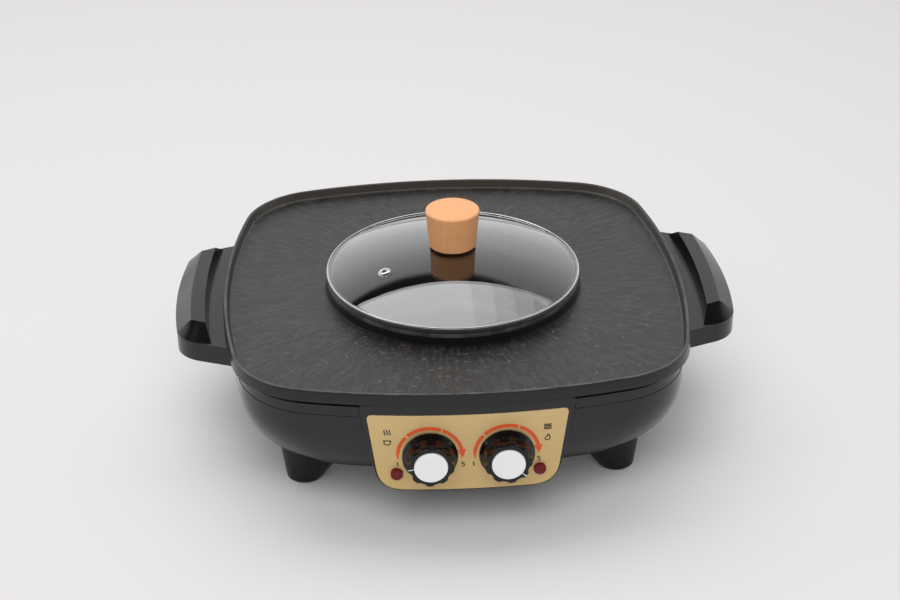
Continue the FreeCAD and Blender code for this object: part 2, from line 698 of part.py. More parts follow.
def handle_grip(inset, low, high):
    """Raised bar along the slab's outer edge: steep inside, hipped ends, sloped outside."""
    outer, knee, _ = handle_end(inset)
    foot = V(186.4 + inset, 77.4 - inset, 0)
    crest = V(202.2 - inset * 0.6, 57.0 - inset, 0)
    brow = V(191.2 + inset * 0.6, 62.0 - inset, 0)
    lower = Part.Wire([
        bow(HANDLE_REACH - inset, outer.x, outer.y, low),
        arc(V(outer.x, outer.y, low), V(knee.x - 1, knee.y + 1, low), V(foot.x, foot.y, low)),
        bow(191.9 + inset, foot.x, foot.y, low),
        arc(V(foot.x, -foot.y, low), V(knee.x - 1, -knee.y - 1, low), V(outer.x, -outer.y, low)),
    ])
    upper = Part.Wire([
        bow(205.2 - inset * 0.6, crest.x, crest.y, high),
        line(V(crest.x, crest.y, high), V(brow.x, brow.y, high)),
        bow(194.4 + inset * 0.6, brow.x, brow.y, high),
        line(V(brow.x, -brow.y, high), V(crest.x, -crest.y, high)),
    ])
    return Part.makeLoft([lower, upper], True, True)


def make_handles(outer):
    """Moulded handles, open underneath for the fingers, screwed on from inside the base."""
    grip = handle_grip(0, HANDLE_TOP, GRIP_TOP)
    crest = [edge for edge in grip.Edges if edge.BoundBox.ZMin > GRIP_TOP - 0.01]
    outer_crest = max(crest, key=lambda edge: edge.BoundBox.XMax)
    grip = grip.makeFillet(GRIP_CREST_ROUND, [outer_crest])
    handle = handle_slab(0, HANDLE_BOTTOM, HANDLE_TOP).fuse(grip).cut(outer)
    root = box((150, 181.5), (-100, 100), (HANDLE_BOTTOM - 1, HANDLE_TOP))
    ceiling = HANDLE_TOP - HANDLE_WALL
    handle = handle.cut(handle_slab(HANDLE_WALL, HANDLE_BOTTOM - 1, ceiling).cut(root))
    handle = handle.cut(handle_grip(HANDLE_WALL, ceiling, GRIP_TOP - HANDLE_WALL))

    screws = []
    for y in (HANDLE_SCREW_Y, -HANDLE_SCREW_Y):
        boss = Part.makeCylinder(4.5, 11, V(179.5, y, HANDLE_SCREW_Z), RIGHT)
        bore = Part.makeCylinder(SCREW_RADIUS, 28, V(160, y, HANDLE_SCREW_Z), RIGHT)
        handle = handle.fuse(boss).cut(bore)
        seat = V(HANDLE_SCREW_SEAT, y, HANDLE_SCREW_Z)
        screws.append(aimed(screw(SCREW_RADIUS, 15.0, HEAD_RADIUS, 2.4), RIGHT, seat))
    handle = handle.removeSplitter()
    save("handle_right", handle)
    save("handle_left", mirrored(handle, -1, 1))
    save("handle_screws", *(screws + [mirrored(fixing, -1, 1) for fixing in screws]))


# ---------------------------------------------------------------- control box

def panel_wire(top_gain, bottom_gain, y):
    """The face plate's outline, grown at its top and bottom, in the plane at y."""
    half_top, half_bottom = PLATE_HALF_TOP + top_gain, PLATE_HALF_BOTTOM + bottom_gain
    top, bottom = PLATE_TOP + min(top_gain, 1.8), PLATE_BOTTOM - bottom_gain
    wire = rounded_polygon([
        (half_bottom, bottom, PLATE_CORNER_BOTTOM + bottom_gain),
        (half_top, top, max(PLATE_CORNER_TOP + top_gain, 2.0)),
        (-half_top, top, max(PLATE_CORNER_TOP + top_gain, 2.0)),
        (-half_bottom, bottom, PLATE_CORNER_BOTTOM + bottom_gain),
    ])
    wire.rotate(V(0, 0, 0), RIGHT, 90)
    wire.translate(V(0, y, 0))
    return wire


def panel_prism(top_gain, bottom_gain, y_front, y_back):
    """Prism of the grown plate outline between two planes."""
    face = Part.Face(panel_wire(top_gain, bottom_gain, y_front))
    return face.extrude(V(0, y_back - y_front, 0))


def box_hook(x):
    """Hook that reaches through the window and up behind the base shell's band."""
    neck = box((x - 6, x + 6), (BOX_INSIDE - 0.5, -167.2), (99.5, 103.0))
    return neck.fuse(box((x - 6, x + 6), (-169.7, -167.2), (99.5, 110.5)))


def make_control_box(outer):
    """Drafted box round the face plate, scribed to the base's curved front."""
    top_gain, low_gain = BEZEL_WIDTH + BOX_SHOULDER, BEZEL_WIDTH + 1.0
    solid = Part.makeLoft([
        panel_wire(BEZEL_WIDTH, BEZEL_WIDTH, BOX_FRONT),
        panel_wire(top_gain, low_gain, BOX_EDGE),
    ], True, True)
    solid = solid.fuse(panel_prism(top_gain, low_gain, BOX_EDGE, -110.0))
    solid = solid.cut(panel_prism(-1.2, -1.2, BOX_INSIDE, -100.0))
    for side in (1, -1):
        root = V(BOX_SCREW_X * side, BOX_INSIDE - 0.5, BOX_SCREW_Z)
        solid = solid.fuse(Part.makeCylinder(BOX_SCREW_BOSS, 40, root, BACK))
    solid = solid.cut(outer.cut(control_window()))
    solid = solid.cut(panel_prism(0.15, 0.15, BOX_SEAT, BOX_SEAT - 5))
    for side in (1, -1):
        solid = solid.fuse(box_hook(BOX_HOOK_X * side))
        pilot = V(BOX_SCREW_X * side, BOX_INSIDE + 0.5, BOX_SCREW_Z)
        solid = solid.cut(Part.makeCylinder(SCREW_RADIUS, 40, pilot, BACK))
        for radius, x, z in ((SHAFT_OPENING, KNOB_X, KNOB_Z), (LENS_STEM_RADIUS + 0.1, LAMP_X, LAMP_Z)):
            solid = solid.cut(on_panel(cylinder(radius, -20, 5), x * side, z))
        for step in (1, -1):
            x = KNOB_X * side + THERMOSTAT_SCREW_X * step
            solid = solid.cut(on_panel(countersunk_screw(30.0), x, KNOB_Z))
    save("control_box", solid.removeSplitter())


def make_box_screws():
    """Screws from inside the base into the control box's lower bosses."""
    fixing = screw(SCREW_RADIUS, 22.0, HEAD_RADIUS, 2.4)
    save("box_screws", *[aimed(fixing, V(0, -1, 0), V(x, BOX_SCREW_SEAT, BOX_SCREW_Z))
                         for x in (-BOX_SCREW_X, BOX_SCREW_X)])


def make_face_plate():
    """Thin printed metal plate with holes for the two shafts and the two lamps."""
    plate = panel_prism(0, 0, PLATE_FACE, PLATE_FACE + PLATE_GAUGE)
    for side in (1, -1):
        for radius, x, z in ((SHAFT_OPENING, KNOB_X, KNOB_Z), (LENS_RADIUS + 0.1, LAMP_X, LAMP_Z)):
            plate = plate.cut(on_panel(cylinder(radius, -5, 5), x * side, z))
    save("face_plate", plate)


# ---------------------------------------------------------------- knobs and thermostats

def d_shaft(radius, flat, low, high):
    """Round shaft with one flat along it."""
    cut = box((flat, 2 * radius), (-radius, radius), (low - 1, high + 1))
    return cylinder(radius, low, high).cut(cut)


def knob_body(pointer_angle):
    """Moulded knob: bevelled skirt, fluted grip, and a seat for the cap."""
    bevel = 0.9
    seat = CAP_RADIUS + RUNNING_FIT
    body = turned_section(
        (0, KNOB_GAP, 0), (SKIRT_RADIUS, KNOB_GAP, 0), (SKIRT_RADIUS, SKIRT_HEIGHT - 0.7, bevel),
        (GRIP_RADIUS + 0.6, SKIRT_HEIGHT, 0.4), (GRIP_RADIUS, GRIP_HEIGHT, bevel),
        (seat, GRIP_HEIGHT, 0), (seat, CAP_SEAT, 0), (0, CAP_SEAT, 0))
    for index in range(FLUTES):
        at = polar(GRIP_RADIUS + FLUTE_RADIUS - FLUTE_DEPTH, 360 / FLUTES * (index + 0.5))
        body = body.cut(cylinder(FLUTE_RADIUS, SKIRT_HEIGHT, CAP_FACE, at.x, at.y))
    body = body.cut(pointer_bar())
    body.rotate(V(0, 0, 0), UP, pointer_angle)
    return body.cut(d_shaft(SHAFT_RADIUS + 0.03, SHAFT_FLAT + 0.03, -1, 11.5)).removeSplitter()


def pointer_bar():
    """Painted inlay that marks the setting, between the cap and the grip's edge."""
    half = POINTER_WIDTH / 2
    return box((CAP_RADIUS + 0.25, GRIP_RADIUS - 0.95), (-half, half),
               (GRIP_HEIGHT - POINTER_DEPTH, GRIP_HEIGHT))


def make_knobs():
    cap = turned_section((0, CAP_SEAT, 0), (CAP_RADIUS, CAP_SEAT, 0), (CAP_RADIUS, CAP_FACE, 0.7),
                         (0, CAP_FACE, 0))
    shaft = cylinder(SHAFT_RADIUS, -18.0, 0.2).fuse(d_shaft(SHAFT_RADIUS, SHAFT_FLAT, 0.1, 11.5))
    shaft = shaft.removeSplitter()
    for name, side in (("left", -1), ("right", 1)):
        angle = POINTER_ANGLES[name]
        pointer = pointer_bar()
        pointer.rotate(V(0, 0, 0), UP, angle)
        save("knob_" + name, on_panel(knob_body(angle), KNOB_X * side, KNOB_Z))
        save("knob_cap_" + name, on_panel(cap, KNOB_X * side, KNOB_Z))
        save("knob_pointer_" + name, on_panel(pointer, KNOB_X * side, KNOB_Z))
        save("thermostat_shaft_" + name, on_panel(shaft, KNOB_X * side, KNOB_Z))


def countersunk_screw(length):
    """Screw whose flat head ends flush under the face plate, its shank pointing inward."""
    face = -PLATE_GAUGE
    head = Part.makeCone(SCREW_RADIUS, 3.6, 1.6, V(0, 0, face - 1.6))
    return head.fuse(cylinder(SCREW_RADIUS, -length, face - 1.6)).removeSplitter()


def make_thermostats():
    """Adjustable thermostats: steel bracket, ceramic body and contact blades."""
    front = -PLATE_GAUGE - BOX_WALL
    back = front - BRACKET_GAUGE
    deep = back - THERMOSTAT_DEPTH
    half_w, half_h = THERMOSTAT_WIDTH / 2, THERMOSTAT_HEIGHT / 2
    bore = cylinder(SHAFT_RADIUS + RUNNING_FIT, -19.0, 0)
    outline = Part.Face(rounded_polygon([(18, -8, 3), (18, 8, 3), (-18, 8, 3), (-18, -8, 3)]))
    bracket = outline.extrude(V(0, 0, BRACKET_GAUGE))
    bracket.translate(V(0, 0, back))
    bracket = bracket.cut(bore)
    for step in (1, -1):
        bracket = bracket.cut(cylinder(SCREW_RADIUS, -20, 5, THERMOSTAT_SCREW_X * step))
    body = Part.Face(rounded_polygon([(half_w, -half_h, 2), (half_w, half_h, 2),
                                      (-half_w, half_h, 2), (-half_w, -half_h, 2)]))
    body = body.extrude(V(0, 0, THERMOSTAT_DEPTH))
    body.translate(V(0, 0, deep))
    body = body.cut(bore)
    for step in (1, -1):
        relief = cylinder(SCREW_RADIUS + 0.6, -14, 0, THERMOSTAT_SCREW_X * step)
        body = body.cut(relief)
    screws, blades = [], []
    for name, side in (("left", -1), ("right", 1)):
        save("thermostat_bracket_" + name, on_panel(bracket, KNOB_X * side, KNOB_Z))
        save("thermostat_body_" + name, on_panel(body, KNOB_X * side, KNOB_Z))
        for step in (1, -1):
            x = KNOB_X * side
            screws.append(on_panel(countersunk_screw(9.0), x + THERMOSTAT_SCREW_X * step, KNOB_Z))
            blade = box((-3.15, 3.15), (-0.4, 0.4), (deep - BLADE_LENGTH, deep))
            blades.append(on_panel(blade, x + BLADE_X * step, KNOB_Z))
    save("thermostat_screws", *screws)
    save("contact_blades", *blades)


def make_lamps():
    """Red lenses pushed through the plate, each with a small glow lamp behind it."""
    face = -PLATE_GAUGE
    lens = turned_edges([
        line(V(0, 0, -7.0), V(LENS_STEM_RADIUS, 0, -7.0)),
        line(V(LENS_STEM_RADIUS, 0, -7.0), V(LENS_STEM_RADIUS, 0, face)),
        line(V(LENS_STEM_RADIUS, 0, face), V(LENS_RADIUS, 0, face)),
        line(V(LENS_RADIUS, 0, face), V(LENS_RADIUS, 0, 0.1)),
        crown(LENS_RADIUS, 0.1, 0.65),
        line(V(0, 0, 0.65), V(0, 0, -7.0)),
    ])
    lamp = cylinder(3.0, -19.0, -7.0).fuse(cylinder(1.8, -22.0, -19.0)).removeSplitter()
    for name, side in (("left", -1), ("right", 1)):
        save("indicator_lens_" + name, on_panel(lens, LAMP_X * side, LAMP_Z))
        save("glow_lamp_" + name, on_panel(lamp, LAMP_X * side, LAMP_Z))


# ---------------------------------------------------------------- heating elements

def element_leg(point, travel, low):
    """Edges of a cold end: upright leg, then an elbow that runs into a point of the loop."""
    foot = point - travel * ELEMENT_ELBOW
    elbow = V(foot.x, foot.y, point.z - ELEMENT_ELBOW)
    middle = elbow + (travel + (UP - travel) * math.sqrt(0.5)) * ELEMENT_ELBOW
    return [line(V(foot.x, foot.y, low), elbow), arc(elbow, middle, point)]


def mirrored_path(half_path):
    """Whole path from its right half, which ends on the symmetry plane x = 0."""
    return Part.__sortEdges__(half_path + [mirrored(edge, -1, 1) for edge in half_path])


def well_leg():
    """Place of the well element's right leg."""
    return polar(WELL_ELEMENT_RADIUS, WELL_ELEMENT_GAP - 90) - polar(ELEMENT_ELBOW, WELL_ELEMENT_GAP)


def make_well_element():
    radius, z = WELL_ELEMENT_RADIUS, WELL_ELEMENT_Z
    start = -90 + WELL_ELEMENT_GAP
    travel = polar(1.0, start + 90)
    half = element_leg(polar(radius, start, z), travel, WELL_LEG_BOTTOM)
    half.append(arc(polar(radius, start, z), polar(radius, start / 2 + 45, z), V(0, radius, z)))
    save("well_element", tube(mirrored_path(half), ELEMENT_RADIUS))


def grill_leg():
    """Place of the grill element's right leg."""
    return V(GRILL_LEG_X, -GRILL_ELEMENT_HALF, 0)


def make_grill_element():
    size, corner, z = GRILL_ELEMENT_HALF, GRILL_ELEMENT_CORNER, GRILL_ELEMENT_Z
    flat = size - corner
    knee = flat + corner * math.sqrt(0.5)
    start = grill_leg() + V(ELEMENT_ELBOW, 0, z)
    half = element_leg(start, RIGHT, GRILL_LEG_BOTTOM) + [
        line(start, V(flat, -size, z)),
        arc(V(flat, -size, z), V(knee, -knee, z), V(size, -flat, z)),
        line(V(size, -flat, z), V(size, flat, z)),
        arc(V(size, flat, z), V(knee, knee, z), V(flat, size, z)),
        line(V(flat, size, z), V(0, size, z)),
    ]
    save("grill_element", tube(mirrored_path(half), ELEMENT_RADIUS))


def make_heat_shield():
    """Sheet under the grill plate, held between the pan's bosses and the base's posts."""
    low, high = PAN_POST_TOP, PAN_POST_TOP + SHEET_GAUGE
    sheet = bowed_prism(SHIELD_INSET, low, high + 4)
    sheet = sheet.cut(bowed_prism(SHIELD_INSET + SHEET_GAUGE, high, high + 5))
    sheet = sheet.cut(cylinder(99.0, low - 1, high + 1))
    for x in (GRILL_LEG_X, -GRILL_LEG_X):
        sheet = sheet.cut(cylinder(5.5, low - 1, high + 1, x, -GRILL_ELEMENT_HALF))
    for x_sign, y_sign in QUARTERS:
        x, y = PAN_POST_AT * x_sign, PAN_POST_AT * y_sign
        sheet = sheet.cut(cylinder(SCREW_HOLE, low - 1, high + 1, x, y))
    save("heat_shield", sheet)


def make_well_reflector():
    """Dished disc under the pot well, screwed to three studs cast on the pan."""
    high = REFLECTOR_Z
    low = high - SHEET_GAUGE
    radius = REFLECTOR_RADIUS
    dish = turned((0, low), (radius - 5, low), (radius, low + 5), (radius, low + 6),
                  (radius - SHEET_GAUGE, low + 6), (radius - SHEET_GAUGE, low + 5.3),
                  (radius - 5.3, high), (0, high))
    leg = well_leg()
    for side in (1, -1):
        dish = dish.cut(cylinder(5.5, low - 1, high + 1, leg.x * side, leg.y))
        dish = dish.cut(cylinder(2.5, low - 1, high + 1, FUSE_LEAD_X * side, FUSE_Y))
    screws = []
    for angle in REFLECTOR_STUD_ANGLES:
        at = polar(REFLECTOR_STUD_CIRCLE, angle, low)
        dish = dish.cut(cylinder(SMALL_SCREW_RADIUS, low - 1, high + 1, at.x, at.y))
        screws.append(aimed(screw(SMALL_SCREW_RADIUS, 8.0, SMALL_HEAD_RADIUS, 1.8), UP, at))
    save("well_reflector", dish)
    save("reflector_screws", *screws)


def make_thermal_fuse():
    """Small sealed fuse under the well's floor, with a strap and two screws that hold it."""
    under = WELL_FLOOR - WELL_WALL
    axis = under - FUSE_RADIUS
    barrel = Part.makeCylinder(FUSE_RADIUS, 14, V(-7, FUSE_Y, axis), RIGHT)
    for x in (-17, 7):
        barrel = barrel.fuse(Part.makeCylinder(0.6, 10, V(x, FUSE_Y, axis), RIGHT))
    save("thermal_fuse", barrel.removeSplitter())

    def saddle(radius):
        """Round seat along X, open upward to the floor."""
        seat = Part.makeCylinder(radius, 6, V(-3, FUSE_Y, axis), RIGHT)
        return seat.fuse(box((-3, 3), (FUSE_Y - radius, FUSE_Y + radius), (axis, under)))

    gauge = 0.5
    reach = FUSE_SCREW_Y + 3.0
    strap = box((-3, 3), (FUSE_Y - reach, FUSE_Y + reach), (under - gauge, under))
    strap = strap.fuse(saddle(FUSE_RADIUS + gauge)).cut(saddle(FUSE_RADIUS + 0.02))
    strap = strap.cut(box((-3, 3), (FUSE_Y - reach, FUSE_Y + reach), (under, under + 1)))
    pieces = [strap]
    for side in (1, -1):
        at = V(0, FUSE_Y + FUSE_SCREW_Y * side, under - gauge)
        fixing = aimed(screw(FUSE_SCREW_RADIUS, 2.0, 2.2, 1.2), UP, at)
        pieces[0] = pieces[0].cut(cylinder(FUSE_SCREW_RADIUS, under - 1, under + 1, at.x, at.y))
        pieces.append(fixing)
    save("fuse_clip", pieces[0].removeSplitter(), *pieces[1:])


# ---------------------------------------------------------------- mains side

def inlet_opening():
    """Outline of the inlet's recess: a rectangle with its two upper corners cut off."""
    half, low, high, shoulder = 12, -8, 8, 4
    return rounded_polygon([(half, low, 1), (half, shoulder, 1), (half - 4, high, 1),
                            (4 - half, high, 1), (-half, shoulder, 1), (-half, low, 1)])


def make_inlet():
    """Three-pin appliance inlet: flanged socket body with a deep recess, and its pins."""
    wide, tall = INLET_FLANGE_HALF
    flange = Part.Face(rounded_polygon([(wide, -tall, 2), (wide, tall, 2), (-wide, tall, 2),
                                        (-wide, -tall, 2)])).extrude(V(0, 0, -INLET_FLANGE))
    body = box((-13.5, 13.5), (-9.8, 9.8), (0, INLET_DEPTH))
    recess = Part.Face(inlet_opening()).extrude(V(0, 0, INLET_DEPTH - 2.5))
    recess.translate(V(0, 0, -INLET_FLANGE))
    socket = flange.fuse(body).cut(recess)
    pins = []
    for x, z in PINS_AT:
        blade = box((x - 1, x + 1), (z - 2, z + 2), (2.5, PIN_LENGTH))
        socket = socket.cut(blade)
        pins.append(at_back(blade))
    save("inlet_socket", at_back(socket.removeSplitter()))
    save("inlet_pins", *pins)


def at_back(shape):
    """Stand a shape on the inlet's face: its +Z becomes inward and its +Y stays up."""
    copy = shape.copy()
    copy.rotate(V(0, 0, 0), RIGHT, 90)
    copy.translate(V(0, INLET_FACE, INLET_Z))
    return copy


def make_terminal_block():
    """Ceramic terminal block with brass clamping screws."""
    low, high = TERMINAL_BLOCK_Z, TERMINAL_BLOCK_Z + 14
    block = box((-18, 18), (TERMINAL_BLOCK_Y - 8, TERMINAL_BLOCK_Y + 8), (low, high))
    screws = []
    for x in (-TERMINAL_X, 0, TERMINAL_X):
        hole = V(x, TERMINAL_BLOCK_Y - 9, TERMINAL_HOLE_Z)
        block = block.cut(Part.makeCylinder(1.6, 18, hole, BACK))
        block = block.cut(cylinder(1.9, TERMINAL_HOLE_Z, high + 1, x, TERMINAL_BLOCK_Y))
        screws.append(cylinder(1.9, TERMINAL_HOLE_Z + 1.6, high - 1, x, TERMINAL_BLOCK_Y))
    save("terminal_block", block.removeSplitter())
    save("terminal_screws", *screws)


# ---------------------------------------------------------------- wiring inside the base

def tab_end(leg, low, side):
    """Middle of the end face of the push-on terminal on an element's leg."""
    return V((leg.x + TAB_LENGTH) * side, leg.y, low + 2.3)


def make_element_clamps():
    """Ring terminals with a flat tab, one on each cold end of the two elements."""
    clamps = []
    for leg, low in ((well_leg(), WELL_LEG_BOTTOM), (grill_leg(), GRILL_LEG_BOTTOM)):
        ring = cylinder(ELEMENT_RADIUS + 0.9, low + 0.3, low + 4.3, leg.x, leg.y)
        tab = box((leg.x, leg.x + TAB_LENGTH), (leg.y - 3.15, leg.y + 3.15), (low + 1.9, low + 2.7))
        clamp = ring.fuse(tab)
        clamp = clamp.cut(cylinder(ELEMENT_RADIUS + 0.02, low, low + 5, leg.x, leg.y))
        clamp = clamp.removeSplitter()
        clamps.extend([clamp, mirrored(clamp, -1, 1)])
    save("element_clamps", *clamps)


def ring_run(degrees):
    """Points along the floor of the base, round the outside of the well."""
    return [polar(LEAD_RING, angle, LEAD_Z) for angle in degrees]


def lead_routes():
    """Corner points of every insulated lead, from one terminal to the next."""
    block_front = TERMINAL_BLOCK_Y - 5
    block_back = TERMINAL_BLOCK_Y + 5
    hole = TERMINAL_HOLE_Z
    pin_end = INLET_FACE - PIN_LENGTH
    blade_end = PLATE_FACE + PLATE_GAUGE + BOX_WALL + BRACKET_GAUGE + THERMOSTAT_DEPTH + BLADE_LENGTH
    outer, inner = KNOB_X + BLADE_X, KNOB_X - BLADE_X
    well_tab = tab_end(well_leg(), WELL_LEG_BOTTOM, 1)
    grill_tab = tab_end(grill_leg(), GRILL_LEG_BOTTOM, 1)
    fuse_z = WELL_FLOOR - WELL_WALL - FUSE_RADIUS
    low = LEAD_Z
    beside = 1.6

    # from the inlet's pins to the back of the terminal block
    routes = []
    for (x, z), to_x in zip(PINS_AT, (-TERMINAL_X, TERMINAL_X, 0.0)):
        away = pin_end - 7 - abs(z)
        routes.append([V(x, pin_end, INLET_Z + z), V(x, away, INLET_Z + z),
                       V(to_x, away, hole), V(to_x, block_back, hole)])

    # live: round the left side to the pot's thermostat, and across to the grill's
    routes.append([V(-TERMINAL_X, block_front, hole), V(-TERMINAL_X, 108, hole),
                   *ring_run((98, 130, 160, 190, 220, 249)),
                   V(-outer - beside, -128, KNOB_Z), V(-outer - beside, blade_end, KNOB_Z)])
    routes.append([V(-outer + beside, blade_end, KNOB_Z), V(-outer + beside, -131, KNOB_Z),
                   V(outer - beside, -131, KNOB_Z), V(outer - beside, blade_end, KNOB_Z)])

    # from the thermostats to the elements
    routes.append([V(-inner, blade_end, KNOB_Z), V(-inner, -136, KNOB_Z), V(-inner, -120, 38),
                   V(-FUSE_LEAD_X, -85, well_tab.z), V(-FUSE_LEAD_X, well_tab.y, well_tab.z),
                   V(-well_tab.x, well_tab.y, well_tab.z)])
    routes.append([V(inner, blade_end, KNOB_Z), V(inner, -136, KNOB_Z),
                   V(inner + 16, -130, grill_tab.z), V(inner + 16, grill_tab.y, grill_tab.z),
                   V(grill_tab.x, grill_tab.y, grill_tab.z)])

    # neutral: from the grill's element to the well's, through the fuse to the block
    routes.append([V(-grill_tab.x, grill_tab.y, grill_tab.z), V(-36, grill_tab.y, grill_tab.z),
                   V(-36, -108, 60), V(10, -104, 40), V(42, -84, well_tab.z),
                   V(42, well_tab.y - beside, well_tab.z),
                   V(well_tab.x, well_tab.y - beside, well_tab.z)])
    routes.append([V(well_tab.x, well_tab.y + beside, well_tab.z),
                   V(FUSE_LEAD_X, well_tab.y + beside, well_tab.z), V(FUSE_LEAD_X, -38, low),
                   V(-FUSE_LEAD_X, -38, low), V(-FUSE_LEAD_X, FUSE_Y, low),
                   V(-FUSE_LEAD_X, FUSE_Y, fuse_z), V(-17, FUSE_Y, fuse_z)])
    routes.append([V(17, FUSE_Y, fuse_z), V(FUSE_LEAD_X, FUSE_Y, fuse_z),
                   V(FUSE_LEAD_X, FUSE_Y, low), V(FUSE_LEAD_X, 62, low),
                   V(TERMINAL_X, 98, low), V(TERMINAL_X, 107, hole), V(TERMINAL_X, block_front, hole)])

    # earth: to a screw on the pan's underside
    screw_y = REFLECTOR_STUD_CIRCLE
    head_z = REFLECTOR_Z - SHEET_GAUGE - LEAD_RADIUS - 0.2
    routes.append([V(0, block_front, hole), V(0, 108, hole), V(-9, 98, low), V(-9, 42, low),
                   V(-9, screw_y, head_z), V(-SMALL_HEAD_RADIUS, screw_y, head_z)])
    return routes


def make_inner_leads():
    leads = []
    for points in lead_routes():
        runs = [line(start, end) for start, end in zip(points, points[1:])]
        leads.append(tube(runs, LEAD_RADIUS, rounded_corners=True))
    save("inner_leads", *leads)


# ---------------------------------------------------------------- lid

def dome_sphere():
    """Radius of the sphere that the glass dome is part of."""
    rise = GLASS_APEX - GLASS_EDGE
    return (GLASS_DOME_RADIUS ** 2 + rise ** 2) / (2 * rise)


def dome_z(radius, drop=0.0):
    """Height of the glass dome's top face at a radius, or of its under face, dropped."""
    sphere = dome_sphere()
    return GLASS_APEX - drop - sphere + math.sqrt(sphere ** 2 - radius ** 2)


def dome_arc(start, end, drop):
    """Arc along the dome between two radii."""
    points = [V(r, 0, dome_z(r, drop)) for r in (start, (start + end) / 2, end)]
    return arc(*points)


def glass_face(hole, drop):
    """Upper or, dropped, lower face of the glass in section: dome, soft bend, flat edge."""
    bend_radius = GLASS_BEND + drop
    flat = V(GLASS_DOME_RADIUS + 0.8, 0, GLASS_EDGE - drop)
    slope = math.asin(GLASS_DOME_RADIUS / dome_sphere())
    last = flat.x - bend_radius * math.sin(slope)
    middle = V(flat.x - bend_radius * math.sin(slope / 2), 0,
               flat.z + bend_radius * (1 - math.cos(slope / 2)))
    return [dome_arc(hole, last, drop), arc(V(last, 0, dome_z(last, drop)), middle, flat),
            line(flat, V(GLASS_RADIUS, 0, flat.z))]


def make_lid_glass():
    hole = SCREW_HOLE
    low_edge = GLASS_EDGE - GLASS_THICKNESS
    edges = glass_face(hole, 0)
    edges.append(line(V(GLASS_RADIUS, 0, GLASS_EDGE), V(GLASS_RADIUS, 0, low_edge)))
    edges.extend(glass_face(hole, GLASS_THICKNESS))
    edges.append(line(V(hole, 0, dome_z(hole, GLASS_THICKNESS)), V(hole, 0, dome_z(hole))))
    glass = turned_edges(Part.__sortEdges__(edges))
    sleeve = cylinder(3.0, -GLASS_THICKNESS - 2, 2)
    glass = glass.cut(aimed(sleeve, vent_direction(), vent_centre()))
    save("lid_glass", glass)
    return glass


def vent_centre():
    return V(VENT_AT.x, VENT_AT.y, dome_z(VENT_AT.Length))


def vent_direction():
    """The dome's outward normal at the steam vent."""
    return (vent_centre() - V(0, 0, GLASS_APEX - dome_sphere())).normalize()


def make_steam_vent(glass):
    """Steel eyelet through the glass, with a rounded top flange."""
    under = -GLASS_THICKNESS
    flange = VENT_FLANGE_RADIUS
    eyelet = turned_edges([
        line(V(1.6, 0, under - 1.2), V(4.6, 0, under - 1.2)),
        line(V(4.6, 0, under - 1.2), V(4.6, 0, under + 0.1)),
        line(V(4.6, 0, under + 0.1), V(3.0, 0, under + 0.1)),
        line(V(3.0, 0, under + 0.1), V(3.0, 0, -0.1)),
        line(V(3.0, 0, -0.1), V(flange, 0, -0.1)),
        line(V(flange, 0, -0.1), V(flange, 0, 0.6)),
        arc(V(flange, 0, 0.6), V(flange - 1.1, 0, 1.8), V(2.7, 0, 2.1)),
        arc(V(2.7, 0, 2.1), V(1.9, 0, 1.8), V(1.6, 0, 1.0)),
        line(V(1.6, 0, 1.0), V(1.6, 0, under - 1.2)),
    ])
    save("steam_vent", aimed(eyelet, vent_direction(), vent_centre()).cut(glass))


def make_lid_rim():
    """Rolled steel band: wraps the glass's edge, with a lip that centres it in the well."""
    gauge, outer, lip = LID_SHEET, LID_RADIUS, LID_LIP_RADIUS
    low, high = LID_RIM_BOTTOM, LID_RIM_TOP
    save("lid_rim", turned_section(
        (lip - gauge, LID_LIP_BOTTOM, 0), (lip, LID_LIP_BOTTOM, 0), (lip, low, 0),
        (outer, low, LID_BEND), (outer, high, LID_BEND), (LID_CURL_RADIUS, high, 0),
        (LID_CURL_RADIUS, high - gauge, 0), (outer - gauge, high - gauge, 0),
        (outer - gauge, low + gauge, 0), (lip - gauge, low + gauge, 0)))


def make_lid_knob(glass):
    """Turned wooden knob on a silicone pad, drawn down by a screw from under the glass."""
    head = LID_KNOB_HEAD_RADIUS
    low, high = LID_KNOB_BOTTOM, LID_KNOB_TOP
    shoulder = high - LID_KNOB_CROWN
    knob = turned_section((0, low, 0), (LID_KNOB_FOOT_RADIUS, low, 1.0),
                          (head, shoulder, LID_KNOB_ROUND), (0, shoulder, 0))
    dome = head - LID_KNOB_ROUND
    knob = knob.fuse(turned_edges([
        line(V(0, 0, shoulder), V(dome, 0, shoulder)),
        crown(dome, shoulder, high),
        line(V(0, 0, high), V(0, 0, shoulder)),
    ])).removeSplitter()
    knob = knob.cut(cylinder(SCREW_RADIUS, low - 1, low + 18))
    save("lid_knob", knob)

    under = GLASS_APEX - GLASS_THICKNESS
    top_pad = cylinder(14.0, dome_z(14.0) - 0.5, low).cut(cylinder(SCREW_HOLE, 100, 200)).cut(glass)
    low_pad = cylinder(9.5, under - 1.4, under + 0.5).cut(cylinder(SCREW_HOLE, 100, 200)).cut(glass)
    save("knob_pads", max(top_pad.Solids, key=lambda piece: piece.BoundBox.ZMax),
         min(low_pad.Solids, key=lambda piece: piece.BoundBox.ZMin))
    washer_top = under - 1.4
    save("knob_washer", cylinder(8.5, washer_top - 0.8, washer_top).cut(cylinder(SCREW_HOLE, 100, 200)))
    fixing = screw(SCREW_RADIUS, low + 17 - washer_top + 0.8, HEAD_RADIUS, 2.4)
    save("lid_knob_screw", aimed(fixing, UP, V(0, 0, washer_top - 0.8)))


# ---------------------------------------------------------------- build

